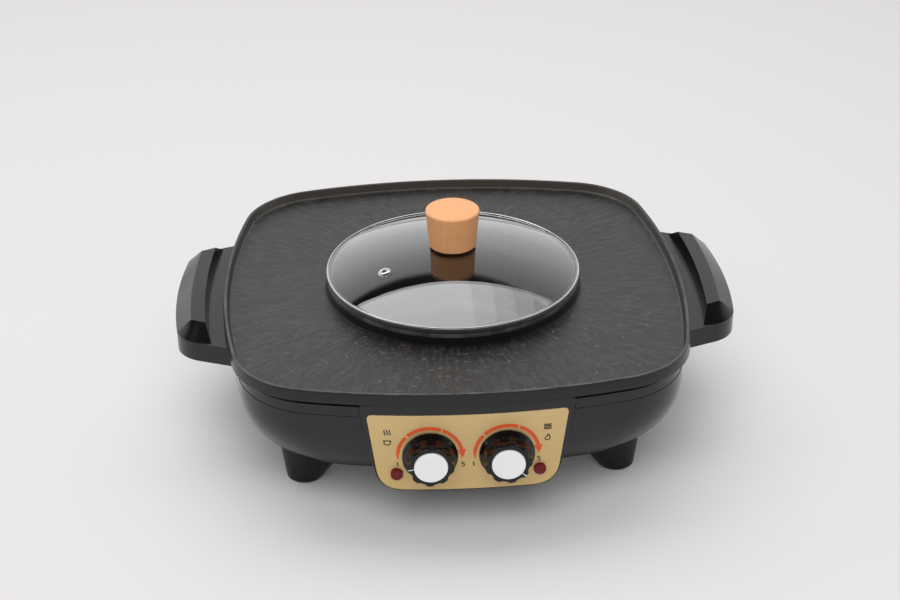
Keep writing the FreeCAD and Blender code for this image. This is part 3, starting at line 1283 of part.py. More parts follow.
def main():
    os.makedirs("parts", exist_ok=True)
    outer = shell_form(0)
    make_grill_pan()
    make_rim_seal()
    make_base_shell(outer)
    make_bottom_cover()
    make_feet(outer)
    make_pan_screws()
    make_handles(outer)
    make_control_box(outer)
    make_box_screws()
    make_face_plate()
    make_knobs()
    make_thermostats()
    make_lamps()
    make_well_element()
    make_grill_element()
    make_heat_shield()
    make_well_reflector()
    make_thermal_fuse()
    make_inlet()
    make_terminal_block()
    make_element_clamps()
    make_inner_leads()
    glass = make_lid_glass()
    make_steam_vent(glass)
    make_lid_rim()
    make_lid_knob(glass)


main()
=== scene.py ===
"""Looks of an electric hot pot with a grill plate and a loose glass lid.

Written as an add-on: each operator dresses one group of pieces, and the panel lists them all.
Sizes in the pieces are millimetres from the pot's own upright axis, with the table at z = 0,
and to_world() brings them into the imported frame.
"""

import json
import math

import bmesh
import bpy
import numpy as np
from bpy.props import FloatProperty, FloatVectorProperty, PointerProperty
from mathutils import Matrix, Vector


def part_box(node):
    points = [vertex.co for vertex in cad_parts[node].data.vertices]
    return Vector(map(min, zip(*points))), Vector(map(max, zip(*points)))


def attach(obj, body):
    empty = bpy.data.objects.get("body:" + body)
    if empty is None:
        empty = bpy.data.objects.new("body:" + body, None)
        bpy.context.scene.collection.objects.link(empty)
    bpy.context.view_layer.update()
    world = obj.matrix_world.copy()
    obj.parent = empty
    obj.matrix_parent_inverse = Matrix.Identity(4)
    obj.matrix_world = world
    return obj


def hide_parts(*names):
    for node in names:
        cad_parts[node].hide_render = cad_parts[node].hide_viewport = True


bl_info = {
    "name": "Hot Pot Dresser",
    "version": (1, 0, 0),
    "blender": (4, 5, 0),
    "location": "3D View > Sidebar > Hot Pot",
    "description": "Dresses the packed hot pot: pan, glass lid, wooden knob, dials and stage",
    "category": "Object",
}

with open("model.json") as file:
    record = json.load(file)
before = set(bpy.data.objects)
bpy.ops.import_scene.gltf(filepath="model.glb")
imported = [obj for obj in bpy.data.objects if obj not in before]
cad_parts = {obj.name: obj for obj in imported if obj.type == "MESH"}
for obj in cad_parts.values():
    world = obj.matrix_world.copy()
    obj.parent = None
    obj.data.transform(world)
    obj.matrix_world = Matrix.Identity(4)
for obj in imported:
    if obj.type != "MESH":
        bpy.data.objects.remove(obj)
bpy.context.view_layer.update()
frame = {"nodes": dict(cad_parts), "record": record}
NODES = frame["nodes"]
MM = 0.001
LID_LOW, LID_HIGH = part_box("lid_rim")
AXIS_Y = (LID_LOW.y + LID_HIGH.y) / 2 / MM
PLATE_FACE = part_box("face_plate")[0].y / MM - AXIS_Y


def to_world(point):
    """A point in millimetres about the pot's axis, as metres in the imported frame."""
    return Vector((point[0] * MM, (point[1] + AXIS_Y) * MM, point[2] * MM))


# -------- materials: the small language

def maths(operation, swapped=False):
    """A Python operator on signals, as one Math node."""
    def apply(*values):
        tree = values[0].tree
        node = tree.nodes.new("ShaderNodeMath")
        node.operation = operation
        for slot, value in zip(node.inputs, values[::-1] if swapped else values):
            plug(tree, slot, value)
        return Signal(tree, node.outputs[0])
    return apply


class Signal:
    """One output of a node; Python's arithmetic on it adds Math nodes."""

    __add__, __radd__ = maths("ADD"), maths("ADD", swapped=True)
    __sub__, __rsub__ = maths("SUBTRACT"), maths("SUBTRACT", swapped=True)
    __mul__, __truediv__ = maths("MULTIPLY"), maths("DIVIDE")
    __pow__, __abs__ = maths("POWER"), maths("ABSOLUTE")

    def __init__(self, tree, socket):
        self.tree, self.socket = tree, socket


def plug(tree, socket, value):
    """Link a signal into a socket, or set the socket's own value."""
    if isinstance(value, Signal):
        tree.links.new(value.socket, socket)
    else:
        socket.default_value = value


class Finish:
    """A node material, or the sky, under construction."""

    def __init__(self, name, library="materials"):
        self.material = getattr(bpy.data, library).new(name)
        self.material.use_nodes = True
        self.tree = self.material.node_tree
        self.tree.nodes.clear()

    def node(self, kind, inputs=None, output=0, **settings):
        """Add a node with its socket values or links and its settings; returns one output."""
        node = self.tree.nodes.new("ShaderNode" + kind)
        for key, value in settings.items():
            setattr(node, key, value)
        for key, value in (inputs or {}).items():
            plug(self.tree, node.inputs[key], value)
        return Signal(self.tree, node.outputs[output])

    def place(self):
        """Position on the piece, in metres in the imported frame."""
        return self.node("TexCoord", output="Object")

    def split(self, vector):
        """The three numbers of a vector."""
        return [self.node("SeparateXYZ", {0: vector}, axis) for axis in range(3)]

    def axes(self):
        """The position's three numbers, with y taken from the pot's axis."""
        x, y, z = self.split(self.place())
        return x, y - AXIS_Y * MM, z

    def stretched(self, scale):
        """Position scaled by axis: patterns run long where the scale is small."""
        return self.node("Mapping", {"Vector": self.place(), "Scale": scale})

    def noise(self, scale, detail=3.0, roughness=0.5, vector=None, distortion=0.0):
        """Soft pattern from 0 to 1, with about a scale of features in a metre."""
        return self.node("TexNoise", {
            "Vector": vector or self.place(), "Scale": scale, "Detail": detail,
            "Roughness": roughness, "Distortion": distortion})

    def lottery(self, number):
        """A value from 0 to 1 for each whole number."""
        return self.node("TexWhiteNoise", {"W": number}, noise_dimensions="1D")

    def step(self, value, low, high, start=0.0, end=1.0):
        """Smooth change from start to end as the value goes from low to high."""
        return self.node("MapRange", {0: value, 1: low, 2: high, 3: start, 4: end},
                         interpolation_type="SMOOTHSTEP")

    def math(self, operation, *values):
        """One Math node that Python has no sign for."""
        return self.node("Math", dict(enumerate(values)), operation=operation)

    def mix(self, factor, first, second):
        """Colour between two colours, each a signal or a hexadecimal code."""
        first, second = (rgb(tone) if isinstance(tone, str) else tone for tone in (first, second))
        return self.node("Mix", {0: factor, 6: first, 7: second}, 2, data_type="RGBA")

    def bump(self, height, distance, strength, normal=None):
        """Shading normal of a relief in metres, over another one if that is given."""
        below = {"Normal": normal} if normal else {}
        return self.node("Bump", {
            "Height": height, "Distance": distance, "Strength": strength, **below})

    def shader(self, **inputs):
        """A Principled shader; spaces in socket names are written as underscores."""
        return self.node("BsdfPrincipled",
                         {key.replace("_", " "): value for key, value in inputs.items()})

    def output(self, surface, kind="Material"):
        """Close the tree with a surface; returns the material or world."""
        sink = self.tree.nodes.new("ShaderNodeOutput" + kind)
        plug(self.tree, sink.inputs["Surface"], surface)
        return self.material

    def principled(self, **inputs):
        """Close the material with one Principled shader."""
        return self.output(self.shader(**inputs))

    def blended(self, share, first, second):
        """Close the material with two shaders, the second by a share."""
        return self.output(self.node("MixShader", {0: share, 1: first, 2: second}))


def rgb(code):
    """Linear colour from a hexadecimal sRGB code."""
    channels = [int(code[index:index + 2], 16) / 255 for index in (1, 3, 5)]
    linear = [c / 12.92 if c <= 0.04045 else ((c + 0.055) / 1.055) ** 2.4 for c in channels]
    return (*linear, 1.0)


# -------- materials: the finishes

# Where the pan's surface changes, in metres: heights, a radius, and front to back.
FLOOR_BEGINS, FLOOR_ENDS, RIM_EDGE = (0.1170, 0.1174), (0.1184, 0.1192), (0.1243, 0.1248)
COLLAR_ENDS = (0.1006, 0.1014)
NEAR_HALF, FAR_HALF, WHOLE_DEPTH = (-0.1, 0.0), (0.0, 0.1), (-0.1, 0.1)
# Rows of chisel marks in a metre outwards, and how far they stray, in rows or columns.
MARK_ROWS, ROW_SLIDE, ROW_WANDER, COLUMN_WANDER = 80.0, 7.0, 1.6, 2.4
STREAKS_ROUND, STREAKS_OUT = 42.0, 70.0
COATING_GLOSS = 0.34
# Heights between which a moulding's matte share fades out, and its surface.
MATTE_LOW, MATTE_TOP = 0.035, 0.08
MATTE = {"Roughness": 0.9, "IOR": 1.15}

# Slot: two tones, roughness, and what departs from a plain moulding.
MOULDED = {
    "seal_silicone": ("#040404", "#080808", 0.8, {"ior": 1.12}),
    "black_plastic": ("#0C0B0C", "#121112", 0.13, {"matte": 0.9}),
    "foot_plastic": ("#080707", "#0D0C0C", 0.35, {"ior": 1.38}),
    "pad_rubber": ("#121212", "#1A1A1A", 0.7, {"grain": 1500.0, "depth": 0.00005}),
    "knob_plastic": ("#0E0B0A", "#15100E", 0.07, {"ior": 1.4}),
    "socket_plastic": ("#121213", "#1A1A1B", 0.4, {}),
    "lead_insulation": ("#B9B2A4", "#CFC8BA", 0.6, {}),
    "cap_white": ("#E6E7E9", "#EEEFF0", 0.30, {"grain": 1400.0, "depth": 0.00001}),
    "pointer_white": ("#E4E4E4", "#F2F2F2", 0.4, {}),
    "lamp_glass": ("#D9CBB8", "#EADFCE", 0.15, {}),
}

# Slot: two tones, roughness, the direction of the brushing, and its fineness.
UPRIGHT, SIDEWAYS, ROLLED = (1.0, 1.0, 0.04), (0.04, 1.0, 1.0), (1.0, 1.0, 0.2)
METALS = {
    "zinc_sheet": ("#8F9294", "#B3B6B8", 0.32, SIDEWAYS, 500.0),
    "screw_steel": ("#9B9D9F", "#BEC0C2", 0.25, UPRIGHT, 700.0),
    "rim_steel": ("#C9CBCD", "#DEDFE1", 0.10, ROLLED, 300.0),
    "element_steel": ("#55524E", "#7D7973", 0.38, UPRIGHT, 400.0),
    "shield_aluminium": ("#B4B7BA", "#CDD0D2", 0.3, SIDEWAYS, 600.0),
    "brass_contact": ("#A58543", "#C4A55C", 0.28, UPRIGHT, 600.0),
    "fuse_metal": ("#8A8C8E", "#A6A8AA", 0.3, SIDEWAYS, 500.0),
}

# Slot: two tones, the specks' scale and detail, roughness and spread, relief, other sockets.
INK_SPECKS = ((450.0, 3.0), (0.45, 0.1), (0.00001, 0.3), {})
SPECKLED = {
    "ceramic": ("#CFC7B6", "#E4DDCF", (900.0, 3.0), (0.6, 0.15), (0.00004, 0.6), {}),
    "lens_red": ("#5A0C14", "#74131C", (300.0, 2.0), (0.3, 0.1), (0.00002, 0.3), {"IOR": 1.35}),
    "print_orange": ("#D24A14", "#E05A20", *INK_SPECKS),
    "print_dark": ("#120D0A", "#1E1612", *INK_SPECKS),
}


def chisel_marks(f, x, y, radius):
    """Short lips of the chisel strokes, and the ridges between them."""
    turn = f.math("ARCTAN2", y, x) * (STROKE_COLUMNS / math.tau)
    column = turn + f.noise(22.0) * COLUMN_WANDER
    cell = f.math("FLOOR", column)
    across = abs(f.math("FRACT", column) - 0.5)
    row = radius * MARK_ROWS + f.lottery(cell) * ROW_SLIDE + f.noise(45.0) * ROW_WANDER
    along = f.math("FRACT", row)
    grain = f.lottery(cell * 31.7 + f.math("FLOOR", row))
    lip = f.step(along, 0.0, 0.03) * f.step(along, 0.05, 0.16, 1.0, 0.0)
    dash = lip * f.step(across, 0.16, 0.28, 1.0, 0.0) * f.step(grain, 0.35, 0.75)
    return dash, f.step(across, 0.36, 0.5)


def coated_pan_finish():
    """Satin non-stick coating: chiselled floor, fine grain, painted shade on the outward walls."""
    f = Finish("nonstick_coating")
    x, y, z = f.axes()
    radius = (x * x + y * y) ** 0.5
    side_x, side_y, _ = f.split(f.node("TexCoord", output="Normal"))
    outwards = (side_x * x + side_y * y) / radius
    wall = f.step(outwards, 0.25, 0.6)
    inner = f.step(outwards, -0.7, -0.3, 1.0, 0.0) * f.step(
        z, GRILL_FLOOR * MM, (GRILL_FLOOR + 1) * MM)
    flat = f.step(z, *FLOOR_BEGINS) * f.step(z, *FLOOR_ENDS, 1.0, 0.0) * f.step(
        radius, *COLLAR_ENDS) * (1.0 - wall)
    fan = f.node("CombineXYZ", {0: x / radius * STREAKS_ROUND, 1: y / radius * STREAKS_ROUND,
                                2: radius * STREAKS_OUT})
    streaks = f.noise(1.0, 4.0, 0.65, fan)
    cloud = f.noise(14.0, 4.0, 0.55)
    # Painted shade: walls that face outwards, the rim's front and the collar, are darker.
    tone = f.mix(wall, f.mix(cloud, "#161514", "#1D1B19"), f.mix(cloud, "#080707", "#0D0C0C"))
    # Painted light: inward-facing walls above the floor are lighter, most of all at the far side.
    painted_lit_walls = f.mix(inner * f.step(y, *FAR_HALF, 0.3, 1.0), tone, "#37342F")
    brushed = f.mix(f.step(streaks, 0.45, 0.6) * flat * 0.6, painted_lit_walls, "#34312E")
    # Wear and painted highlight: the rim's top edge is lighter in spots, most of all at the front.
    edge = f.step(z, *RIM_EDGE) * f.step(y, *WHOLE_DEPTH, 1.0, 0.4)
    rubbed_and_highlit = f.mix(edge * f.step(f.noise(55.0, 4.0, 0.6), 0.35, 0.65, 0.2, 0.7), brushed, "#5A5756")
    dash, ridge = chisel_marks(f, x, y, radius)
    glint = dash * flat * f.step(y, *NEAR_HALF, 0.42, 0.1)
    rough = COATING_GLOSS - wall * 0.08 + cloud * 0.08 - streaks * flat * 0.06
    fine = f.bump(f.noise(1700.0, 2.0), 0.00003, 0.5)
    carved = f.bump((glint + ridge * 0.06) * flat, 0.0004, 0.7, fine)
    return f.principled(Base_Color=f.mix(glint, rubbed_and_highlit, "#6A6763"), Roughness=rough,
                        Normal=f.bump(streaks * flat, 0.0009, 0.9, carved))


def moulded_finish(name, dark, light, gloss, grain=2600.0, depth=0.00002, ior=1.5, matte=0.0):
    """Moulded plastic or rubber: cloudy, grained, with a matte share at its foot."""
    f = Finish(name)
    marks = f.noise(9.0, 5.0, 0.65, f.stretched((1.0, 0.6, 2.2)))
    both = {"Base_Color": f.mix(f.noise(22.0), dark, light),
            "Normal": f.bump(f.noise(grain, 2.0), depth, 0.6)}
    glossy = f.shader(Roughness=gloss + f.step(marks, 0.35, 0.75) * 0.07, IOR=ior, **both)
    if not matte:
        return f.output(glossy)
    share = f.step(f.axes()[2], MATTE_LOW, MATTE_TOP, matte, 0.0) + marks * 0.02
    return f.blended(share, glossy, f.shader(**MATTE, **both))


def metal_finish(name, dark, light, gloss, stretch, scale):
    """Sheet, rod or plating: a brushed direction in tone, gloss and relief."""
    f = Finish(name)
    lines = f.noise(scale, 4.0, 0.6, f.stretched(stretch))
    return f.principled(Base_Color=f.mix(lines, dark, light), Roughness=gloss + lines * 0.12,
                        Metallic=1.0, Normal=f.bump(lines, 0.00002, 0.5))


def speckled_finish(name, dark, light, specks, gloss, relief, others):
    """Ink, ceramic or a lens: fine specks in tone, gloss and relief."""
    f = Finish(name)
    speck = f.noise(*specks)
    return f.principled(Base_Color=f.mix(speck, dark, light), Roughness=gloss[0] + speck * gloss[1],
                        Normal=f.bump(speck, *relief), **others)


def gold_plate_finish():
    """Champagne lacquered sheet, brushed from side to side, with painted light that makes it paler
    towards its top.
    """
    f = Finish("gold_plate")
    lines = f.noise(520.0, 3.0, 0.6, f.stretched(SIDEWAYS))
    # Painted light: paler towards the top, with a slow random drift of tone.
    top_light_and_drift = f.step(f.axes()[2], 0.045, 0.11) * 0.4 + f.noise(11.0, 2.0) * 0.3
    tone = f.mix(top_light_and_drift, f.mix(lines, "#C4A66B", "#D2B67E"), "#D6BA88")
    return f.principled(Base_Color=tone, Roughness=0.38 + lines * 0.12, Metallic=0.35,
                        Normal=f.bump(lines, 0.00001, 0.4))


def wood_finish():
    """Light beech: faint upright grain, small flecks, a slow drift of tone."""
    f = Finish("knob_wood")
    grain = f.noise(70.0, 4.0, 0.6, f.stretched((6.0, 6.0, 0.5)), 0.3)
    flecks = f.noise(700.0, 2.0, 0.5, f.stretched((1.6, 1.6, 0.1)))
    drifting = f.mix(f.noise(45.0, 2.0) * 0.35, f.mix(grain, "#D8955C", "#E8AA76"), "#ECB486")
    flecked = f.mix(f.step(flecks, 0.58, 0.72) * 0.25, drifting, "#C08152")
    return f.principled(Base_Color=flecked, Roughness=0.45 + grain * 0.12,
                        Normal=f.bump(grain, 0.00004, 0.4))


def glass_finish():
    """Clear tempered glass, with a faint film of water marks."""
    f = Finish("lid_glass")
    film = f.noise(14.0)
    return f.principled(Base_Color=f.mix(film, "#F1F3F6", "#F8F9FB"), IOR=1.52,
                        Roughness=f.step(film, 0.5, 0.95, 0.0, 0.005), Transmission_Weight=1.0,
                        Coat_Weight=0.75, Coat_Roughness=0.0)


FINISHES = {}


def build_finishes():
    """One material for each slot of the record and each ink of the plate's print."""
    for slot, (*looks, departures) in MOULDED.items():
        FINISHES[slot] = moulded_finish(slot, *looks, **departures)
    for slot, looks in METALS.items():
        FINISHES[slot] = metal_finish(slot, *looks)
    for slot, looks in SPECKLED.items():
        FINISHES[slot] = speckled_finish(slot, *looks)
    FINISHES.update(nonstick_coating=coated_pan_finish(), gold_plate=gold_plate_finish(),
                    knob_wood=wood_finish(), lid_glass=glass_finish())


def wear(piece, slot):
    """Give a piece one of the finishes, in all its material slots."""
    materials = piece.data.materials
    if not materials:
        materials.append(FINISHES[slot])
    for index in range(len(materials)):
        materials[index] = FINISHES[slot]


# -------- meshes: the small language

SHARP_EDGE = 0.7


def turning_edges(shape, angle):
    """Edges whose two faces turn by more than an angle."""
    return [e for e in shape.edges if len(e.link_faces) == 2 and e.calc_face_angle() > angle]


def linked(name, data):
    """A new object of the scene."""
    item = bpy.data.objects.new(name, data)
    bpy.context.scene.collection.objects.link(item)
    return item


def introduce(mesh, name, slot, body, replaced=()):
    """Make a mesh a piece of one body, in place of the nodes that it replaces."""
    piece = linked(name, mesh)
    wear(piece, slot)
    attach(piece, body)
    if replaced:
        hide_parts(*replaced)


class Form:
    """Points and faces of one piece, in millimetres, made of closed islands."""

    def __init__(self):
        self.points, self.faces = [], []

    def add(self, name, slot, body, replaced=()):
        """Make the piece, smooth but for its sharp edges."""
        mesh = bpy.data.meshes.new(name)
        mesh.from_pydata([to_world(point) for point in self.points], [], self.faces)
        shape = bmesh.new()
        shape.from_mesh(mesh)
        bmesh.ops.recalc_face_normals(shape, faces=shape.faces)
        for face in shape.faces:
            face.smooth = True
        for edge in turning_edges(shape, SHARP_EDGE):
            edge.smooth = False
        shape.to_mesh(mesh)
        shape.free()
        introduce(mesh, name, slot, body, replaced)

    def rings(self, rings, closed=False):
        """Island through rings: the last joins the first, or both ends get a fan."""
        start, around, rows = len(self.points), len(rings[0]), len(rings)
        for ring in rings:
            self.points.extend(ring)
        for row in range(rows if closed else rows - 1):
            low, high = start + row * around, start + (row + 1) % rows * around
            for column in range(around):
                beside = (column + 1) % around
                self.faces.append((low + column, low + beside, high + beside, high + column))
        if not closed:
            for first in (start, start + (rows - 1) * around):
                self.fan([first + column for column in range(around)])
        return self

    def fan(self, loop):
        """Close a loop of points with triangles from its middle."""
        middle = len(self.points)
        corners = zip(*(self.points[index] for index in loop))
        self.points.append(tuple(sum(axis) / len(loop) for axis in corners))
        self.faces.extend((a, b, middle) for a, b in zip(loop, loop[1:] + loop[:1]))

    def ribbon(self, line, widths, place, low, high):
        """Flat strip along a line of (u, v) points, with a width at each."""
        rings = []
        for index, (point, width) in enumerate(zip(line, widths)):
            before, after = line[max(index - 1, 0)], line[min(index + 1, len(line) - 1)]
            along = (Vector(after) - Vector(before)).normalized()
            across = Vector((-along.y, along.x)) * (width / 2)
            left, right = Vector(point) - across, Vector(point) + across
            rings.append([place(*left, low), place(*right, low), place(*right, high),
                          place(*left, high)])
        self.rings(rings)

    def washer(self, section, around, centre=(0.0, 0.0)):
        """Ring turned about an upright axis from a section of (radius, height) pairs."""
        return self.rings([level_ring(radius, height, steps(around), centre)
                           for radius, height in section], closed=True)


def steps(count):
    """Angles spread evenly round the circle."""
    return [math.tau * index / count for index in range(count)]


def polar(radius, angle, centre=(0.0, 0.0)):
    """The point at a radius and an angle about a centre."""
    return centre[0] + radius * math.cos(angle), centre[1] + radius * math.sin(angle)


def level_ring(reach, z, directions, centre=(0.0, 0.0)):
    """Ring at one height; its reach is a radius or an Outline."""
    return [(*polar(reach(a) if callable(reach) else reach, a, centre), z) for a in directions]


def fillet(before, corner, after, radius, count):
    """Points that round a corner of a section."""
    before, corner, after = Vector(before), Vector(corner), Vector(after)
    a = corner + (before - corner).normalized() * radius
    b = corner + (after - corner).normalized() * radius
    points = []
    for index in range(count + 1):
        t = index / count
        points.append(tuple(a * (1 - t) ** 2 + corner * 2 * t * (1 - t) + b * t ** 2))
    return points


def rounded(section, radii, count=4):
    """A section whose inner corners are rounded."""
    points = [tuple(section[0])]
    for before, corner, after, radius in zip(section, section[1:], section[2:], radii):
        points.extend(fillet(before, corner, after, radius, count))
    points.append(tuple(section[-1]))
    return points


# -------- the grill pan

PAN_HALF = (179.8, 178.8)
BOW_RADIUS = (560.0, 504.0)
CORNER_RADIUS = 66.0
ARC_POINTS = 90
RIM_TOP, GRILL_FLOOR, SKIRT_END, UNDERSIDE = 125.0, 118.0, 116.0, 115.0
FLOOR_INSET = 5.8
COLLAR_FOOT, COLLAR_TOP = 101.6, 127.4
WELL_FLOOR, WELL_UNDER = 48.0, 45.0
SHELL_TOP, SHELL_CORNER_LOSS = 115.3, 0.07
STROKE_COLUMNS, STROKE_ROWS, STROKE_LINES = 120, 6, 5
STROKE_STEPS = (0.0, 0.07, 0.16, 0.32, 0.48, 0.64, 0.80, 0.94)
BOSS_AT, STUD_AT = 125.0, 30.0

# Under the pan's edge: inset from the rim, height, and how fast its corners tighten.
PAN_EDGE = [(0.5, 116.3, 1.0), (7.0, 116.3, 1.0), (7.0, UNDERSIDE, 0.07), (40.0, UNDERSIDE, 0.3)]
# Sections as (inset from the rim, height) or (radius, height) pairs, with their corners' radii.
SKIRT = rounded([(-0.6, SKIRT_END), (-1.0, SKIRT_END), (0.0, RIM_TOP), (2.3, RIM_TOP),
                 (4.4, GRILL_FLOOR), (6.4, GRILL_FLOOR)], [0.3, 0.9, 0.9, 1.3])
COLLAR = rounded([(COLLAR_FOOT, GRILL_FLOOR), (100.7, GRILL_FLOOR), (99.6, COLLAR_TOP),
                  (94.0, COLLAR_TOP), (88.0, WELL_FLOOR), (0.0, WELL_FLOOR)],
                 [0.8, 1.2, 0.8, 14.0], 6)
WELL = rounded([(112.0, UNDERSIDE), (97.0, UNDERSIDE), (91.0, WELL_UNDER), (0.0, WELL_UNDER)],
               [1.0, 17.0], 6)
# The gasket's outer lip, hung down over the base's band as a painted shadow line under the skirt,
# its bed under the pan, and its foot on the base's rim.
GASKET_WITH_SHADOW_LIP = [(3.35, 111.6), (3.15, 112.0), (3.15, 115.5), (3.4, 115.9), (6.2, 115.9), (6.5, 115.7),
          (6.5, SHELL_TOP + 0.05), (4.0, SHELL_TOP + 0.05), (4.0, 111.6)]


class Outline:
    """Distance in any direction to a square of bowed sides and tangent corners."""

    def __init__(self, inset, corner_loss=1.0):
        half_x, half_y = PAN_HALF[0] - inset, PAN_HALF[1] - inset
        side, front = BOW_RADIUS[0] - inset, BOW_RADIUS[1] - inset
        corner = CORNER_RADIUS - inset * corner_loss
        side_centre, front_centre = Vector((half_x - side, 0.0)), Vector((0.0, half_y - front))
        span = front_centre - side_centre
        apart = span.length
        along = ((side - corner) ** 2 - (front - corner) ** 2 + apart ** 2) / (2 * apart)
        across = math.sqrt((side - corner) ** 2 - along ** 2)
        ahead = span / apart
        centre = side_centre + ahead * along + Vector((-ahead.y, ahead.x)) * across
        side_end = math.atan2(centre.y - side_centre.y, centre.x - side_centre.x)
        front_end = math.atan2(centre.y - front_centre.y, centre.x - front_centre.x)
        quarter = []
        for middle, radius, start, end in ((side_centre, side, 0.0, side_end),
                                           (centre, corner, side_end, front_end),
                                           (front_centre, front, front_end, math.pi / 2)):
            quarter.extend(polar(radius, start + (end - start) * index / ARC_POINTS, middle)
                           for index in range(ARC_POINTS))
        quarter.append((0.0, half_y))
        self.angles = [math.atan2(y, x) for x, y in quarter]
        self.reach = [math.hypot(x, y) for x, y in quarter]

    def __call__(self, angle):
        folded = angle % math.pi
        return float(np.interp(min(folded, math.pi - folded), self.angles, self.reach))


def stroke_field():
    """Chisel strokes that fan out round the well: (direction, fullness, slide, depths by row)."""
    chance = np.random.default_rng(7)
    bounds = (np.arange(STROKE_COLUMNS) + chance.uniform(-0.22, 0.22, STROKE_COLUMNS)) * (
        math.tau / STROKE_COLUMNS)
    slides = chance.uniform(-0.5, 0.5, STROKE_COLUMNS)
    strength = chance.uniform(0.55, 1.15, (STROKE_COLUMNS, STROKE_ROWS))
    bounds = [*bounds, bounds[0] + math.tau]
    field = []
    for column in range(STROKE_COLUMNS):
        start, end = bounds[column], bounds[column + 1]
        for line in range(STROKE_LINES):
            t = line / STROKE_LINES
            slide = slides[column] if line else (slides[column] + slides[column - 1]) / 2
            field.append((start + (end - start) * t, 1 - (2 * t - 1) ** 2, slide, strength[column]))
    return field


def grill_rows(field, relief):
    """Rings of the grill floor, outwards from the collar, carved by the strokes."""
    outer = Outline(FLOOR_INSET)
    rings = []
    for row in range(1, STROKE_ROWS * len(STROKE_STEPS)):
        stroke, step = divmod(row, len(STROKE_STEPS))
        along = STROKE_STEPS[step]
        carved = min(along / STROKE_STEPS[1], 1.0) * (1 - along) ** 0.8
        plain = (stroke + along) / STROKE_ROWS
        window = min(1.0, 7 * plain, 7 * (1 - plain))
        ring = []
        for angle, across, slide, depth in field:
            u = plain + slide / STROKE_ROWS * window
            reach = COLLAR_FOOT + (outer(angle) - COLLAR_FOOT) * u
            z = GRILL_FLOOR - relief * across * depth[stroke] * carved * window
            ring.append((*polar(reach, angle), z))
        rings.append(ring)
    return rings


def pan_islands(form):
    """Screw bosses, reflector studs and element beads under the pan."""
    def tube(inner, outer, low, high, around, centre=(0.0, 0.0)):
        form.washer([(inner, low), (outer, low), (outer, high), (inner, high)], around, centre)

    for x in (-BOSS_AT, BOSS_AT):
        for y in (-BOSS_AT, BOSS_AT):
            tube(2.0, 7.0, 105.0, 116.0, 32, (x, y))
    for angle in (90, 210, 330):
        tube(1.5, 4.0, 34.4, 46.0, 24, polar(STUD_AT, math.radians(angle)))
    for radius in (54.5, 63.5):
        tube(radius, radius + 2.0, 41.7, 45.5, 96)


def make_pan(settings):
    """Cast pan, from under its middle round the rim into the well, and its gasket, whose hanging
    lip is a painted shadow line.
    """
    field = stroke_field()

    def level(reach, z):
        return level_ring(reach, z, [stroke[0] for stroke in field])

    under = [level(Outline(inset, loss), z) for inset, z, loss in PAN_EDGE]
    under += [level(radius, z) for radius, z in WELL[:-1]]
    under += [level(radius, WELL_UNDER) for radius in (40.0, 2.0)]
    over = [level(Outline(inset), z) for inset, z in SKIRT[1:-1]]
    over += reversed(grill_rows(field, settings.stroke_depth))
    over += [level(radius, z) for radius, z in COLLAR[:-1]]
    over += [level(radius, WELL_FLOOR) for radius in (50.0, 20.0, 2.0)]
    form = Form()
    form.rings(under[::-1] + over)
    pan_islands(form)
    form.add("pan_body", "nonstick_coating", "cooker", ["grill_pan"])
    # The gasket's hanging lip is a painted shadow line under the skirt.
    rings = [level(Outline(inset, SHELL_CORNER_LOSS), z) for inset, z in GASKET_WITH_SHADOW_LIP]
    Form().rings(rings, closed=True).add("gasket", "seal_silicone", "cooker", ["rim_seal"])


# -------- the control panel

PANEL_RADIUS, PANEL_CROWN, PANEL_GAUGE, PANEL_EDGE = 536.0, 0.3, 0.8, 0.2
PANEL_TOP, PANEL_BOTTOM = 106.6, 43.3
PANEL_HALF_TOP, PANEL_HALF_BOTTOM = 72.3, 64.1
PANEL_CORNER_TOP, PANEL_CORNER_BOTTOM = 4.5, 17.0
LONGEST_RUN = 4.0
BROW_TOP, BROW_SIDE, BROW_STARTS, BROW_MIDDLE = 114.0, 4.6, 0.9, 60.0
# The black strip on the box's top that paints the shadow in the gap under the skirt.
SHADOW_STRIP_HALF, SHADOW_STRIP_STEP, SHADOW_STRIP_LOW, SHADOW_STRIP_GAUGE = 70.0, 3.5, 0.3, 0.7
DIAL_X, DIAL_Z = 27.6, 72.8
LAMP_X, LAMP_Z = 51.7, 57.6
BAND_INSET, BAND_BOTTOM = 4.1, 102.8
BOWL_INSET, BOWL_TOP, BOWL_DEPTH, BOWL_REACH, BOWL_POWER = 3.8, 89.0, 66.0, 80.0, 1.8
LENS = [(4.0, -7.0), (4.0, -3.5), (4.5, -3.4), (4.5, 0.1), (4.35, 0.3), (3.5, 0.5), (2.2, 0.6),
        (0.8, 0.65)]


def panel_y(x):
    """The bowed face plate's front, which runs beside the base's own bow."""
    return PLATE_FACE - PANEL_CROWN + x * x / (2 * PANEL_RADIUS)


def base_front(x, z):
    """The base's front at a height: upright band, then a quarter super-ellipse."""
    inset = BAND_INSET if z > BAND_BOTTOM else BOWL_INSET
    if z < BOWL_TOP:
        drop = min((BOWL_TOP - z) / BOWL_DEPTH, 1.0) ** BOWL_POWER
        inset += BOWL_REACH * (1 - (1 - drop) ** (1 / BOWL_POWER))
    return inset - PAN_HALF[1] + x * x / (2 * (BOW_RADIUS[1] - inset))


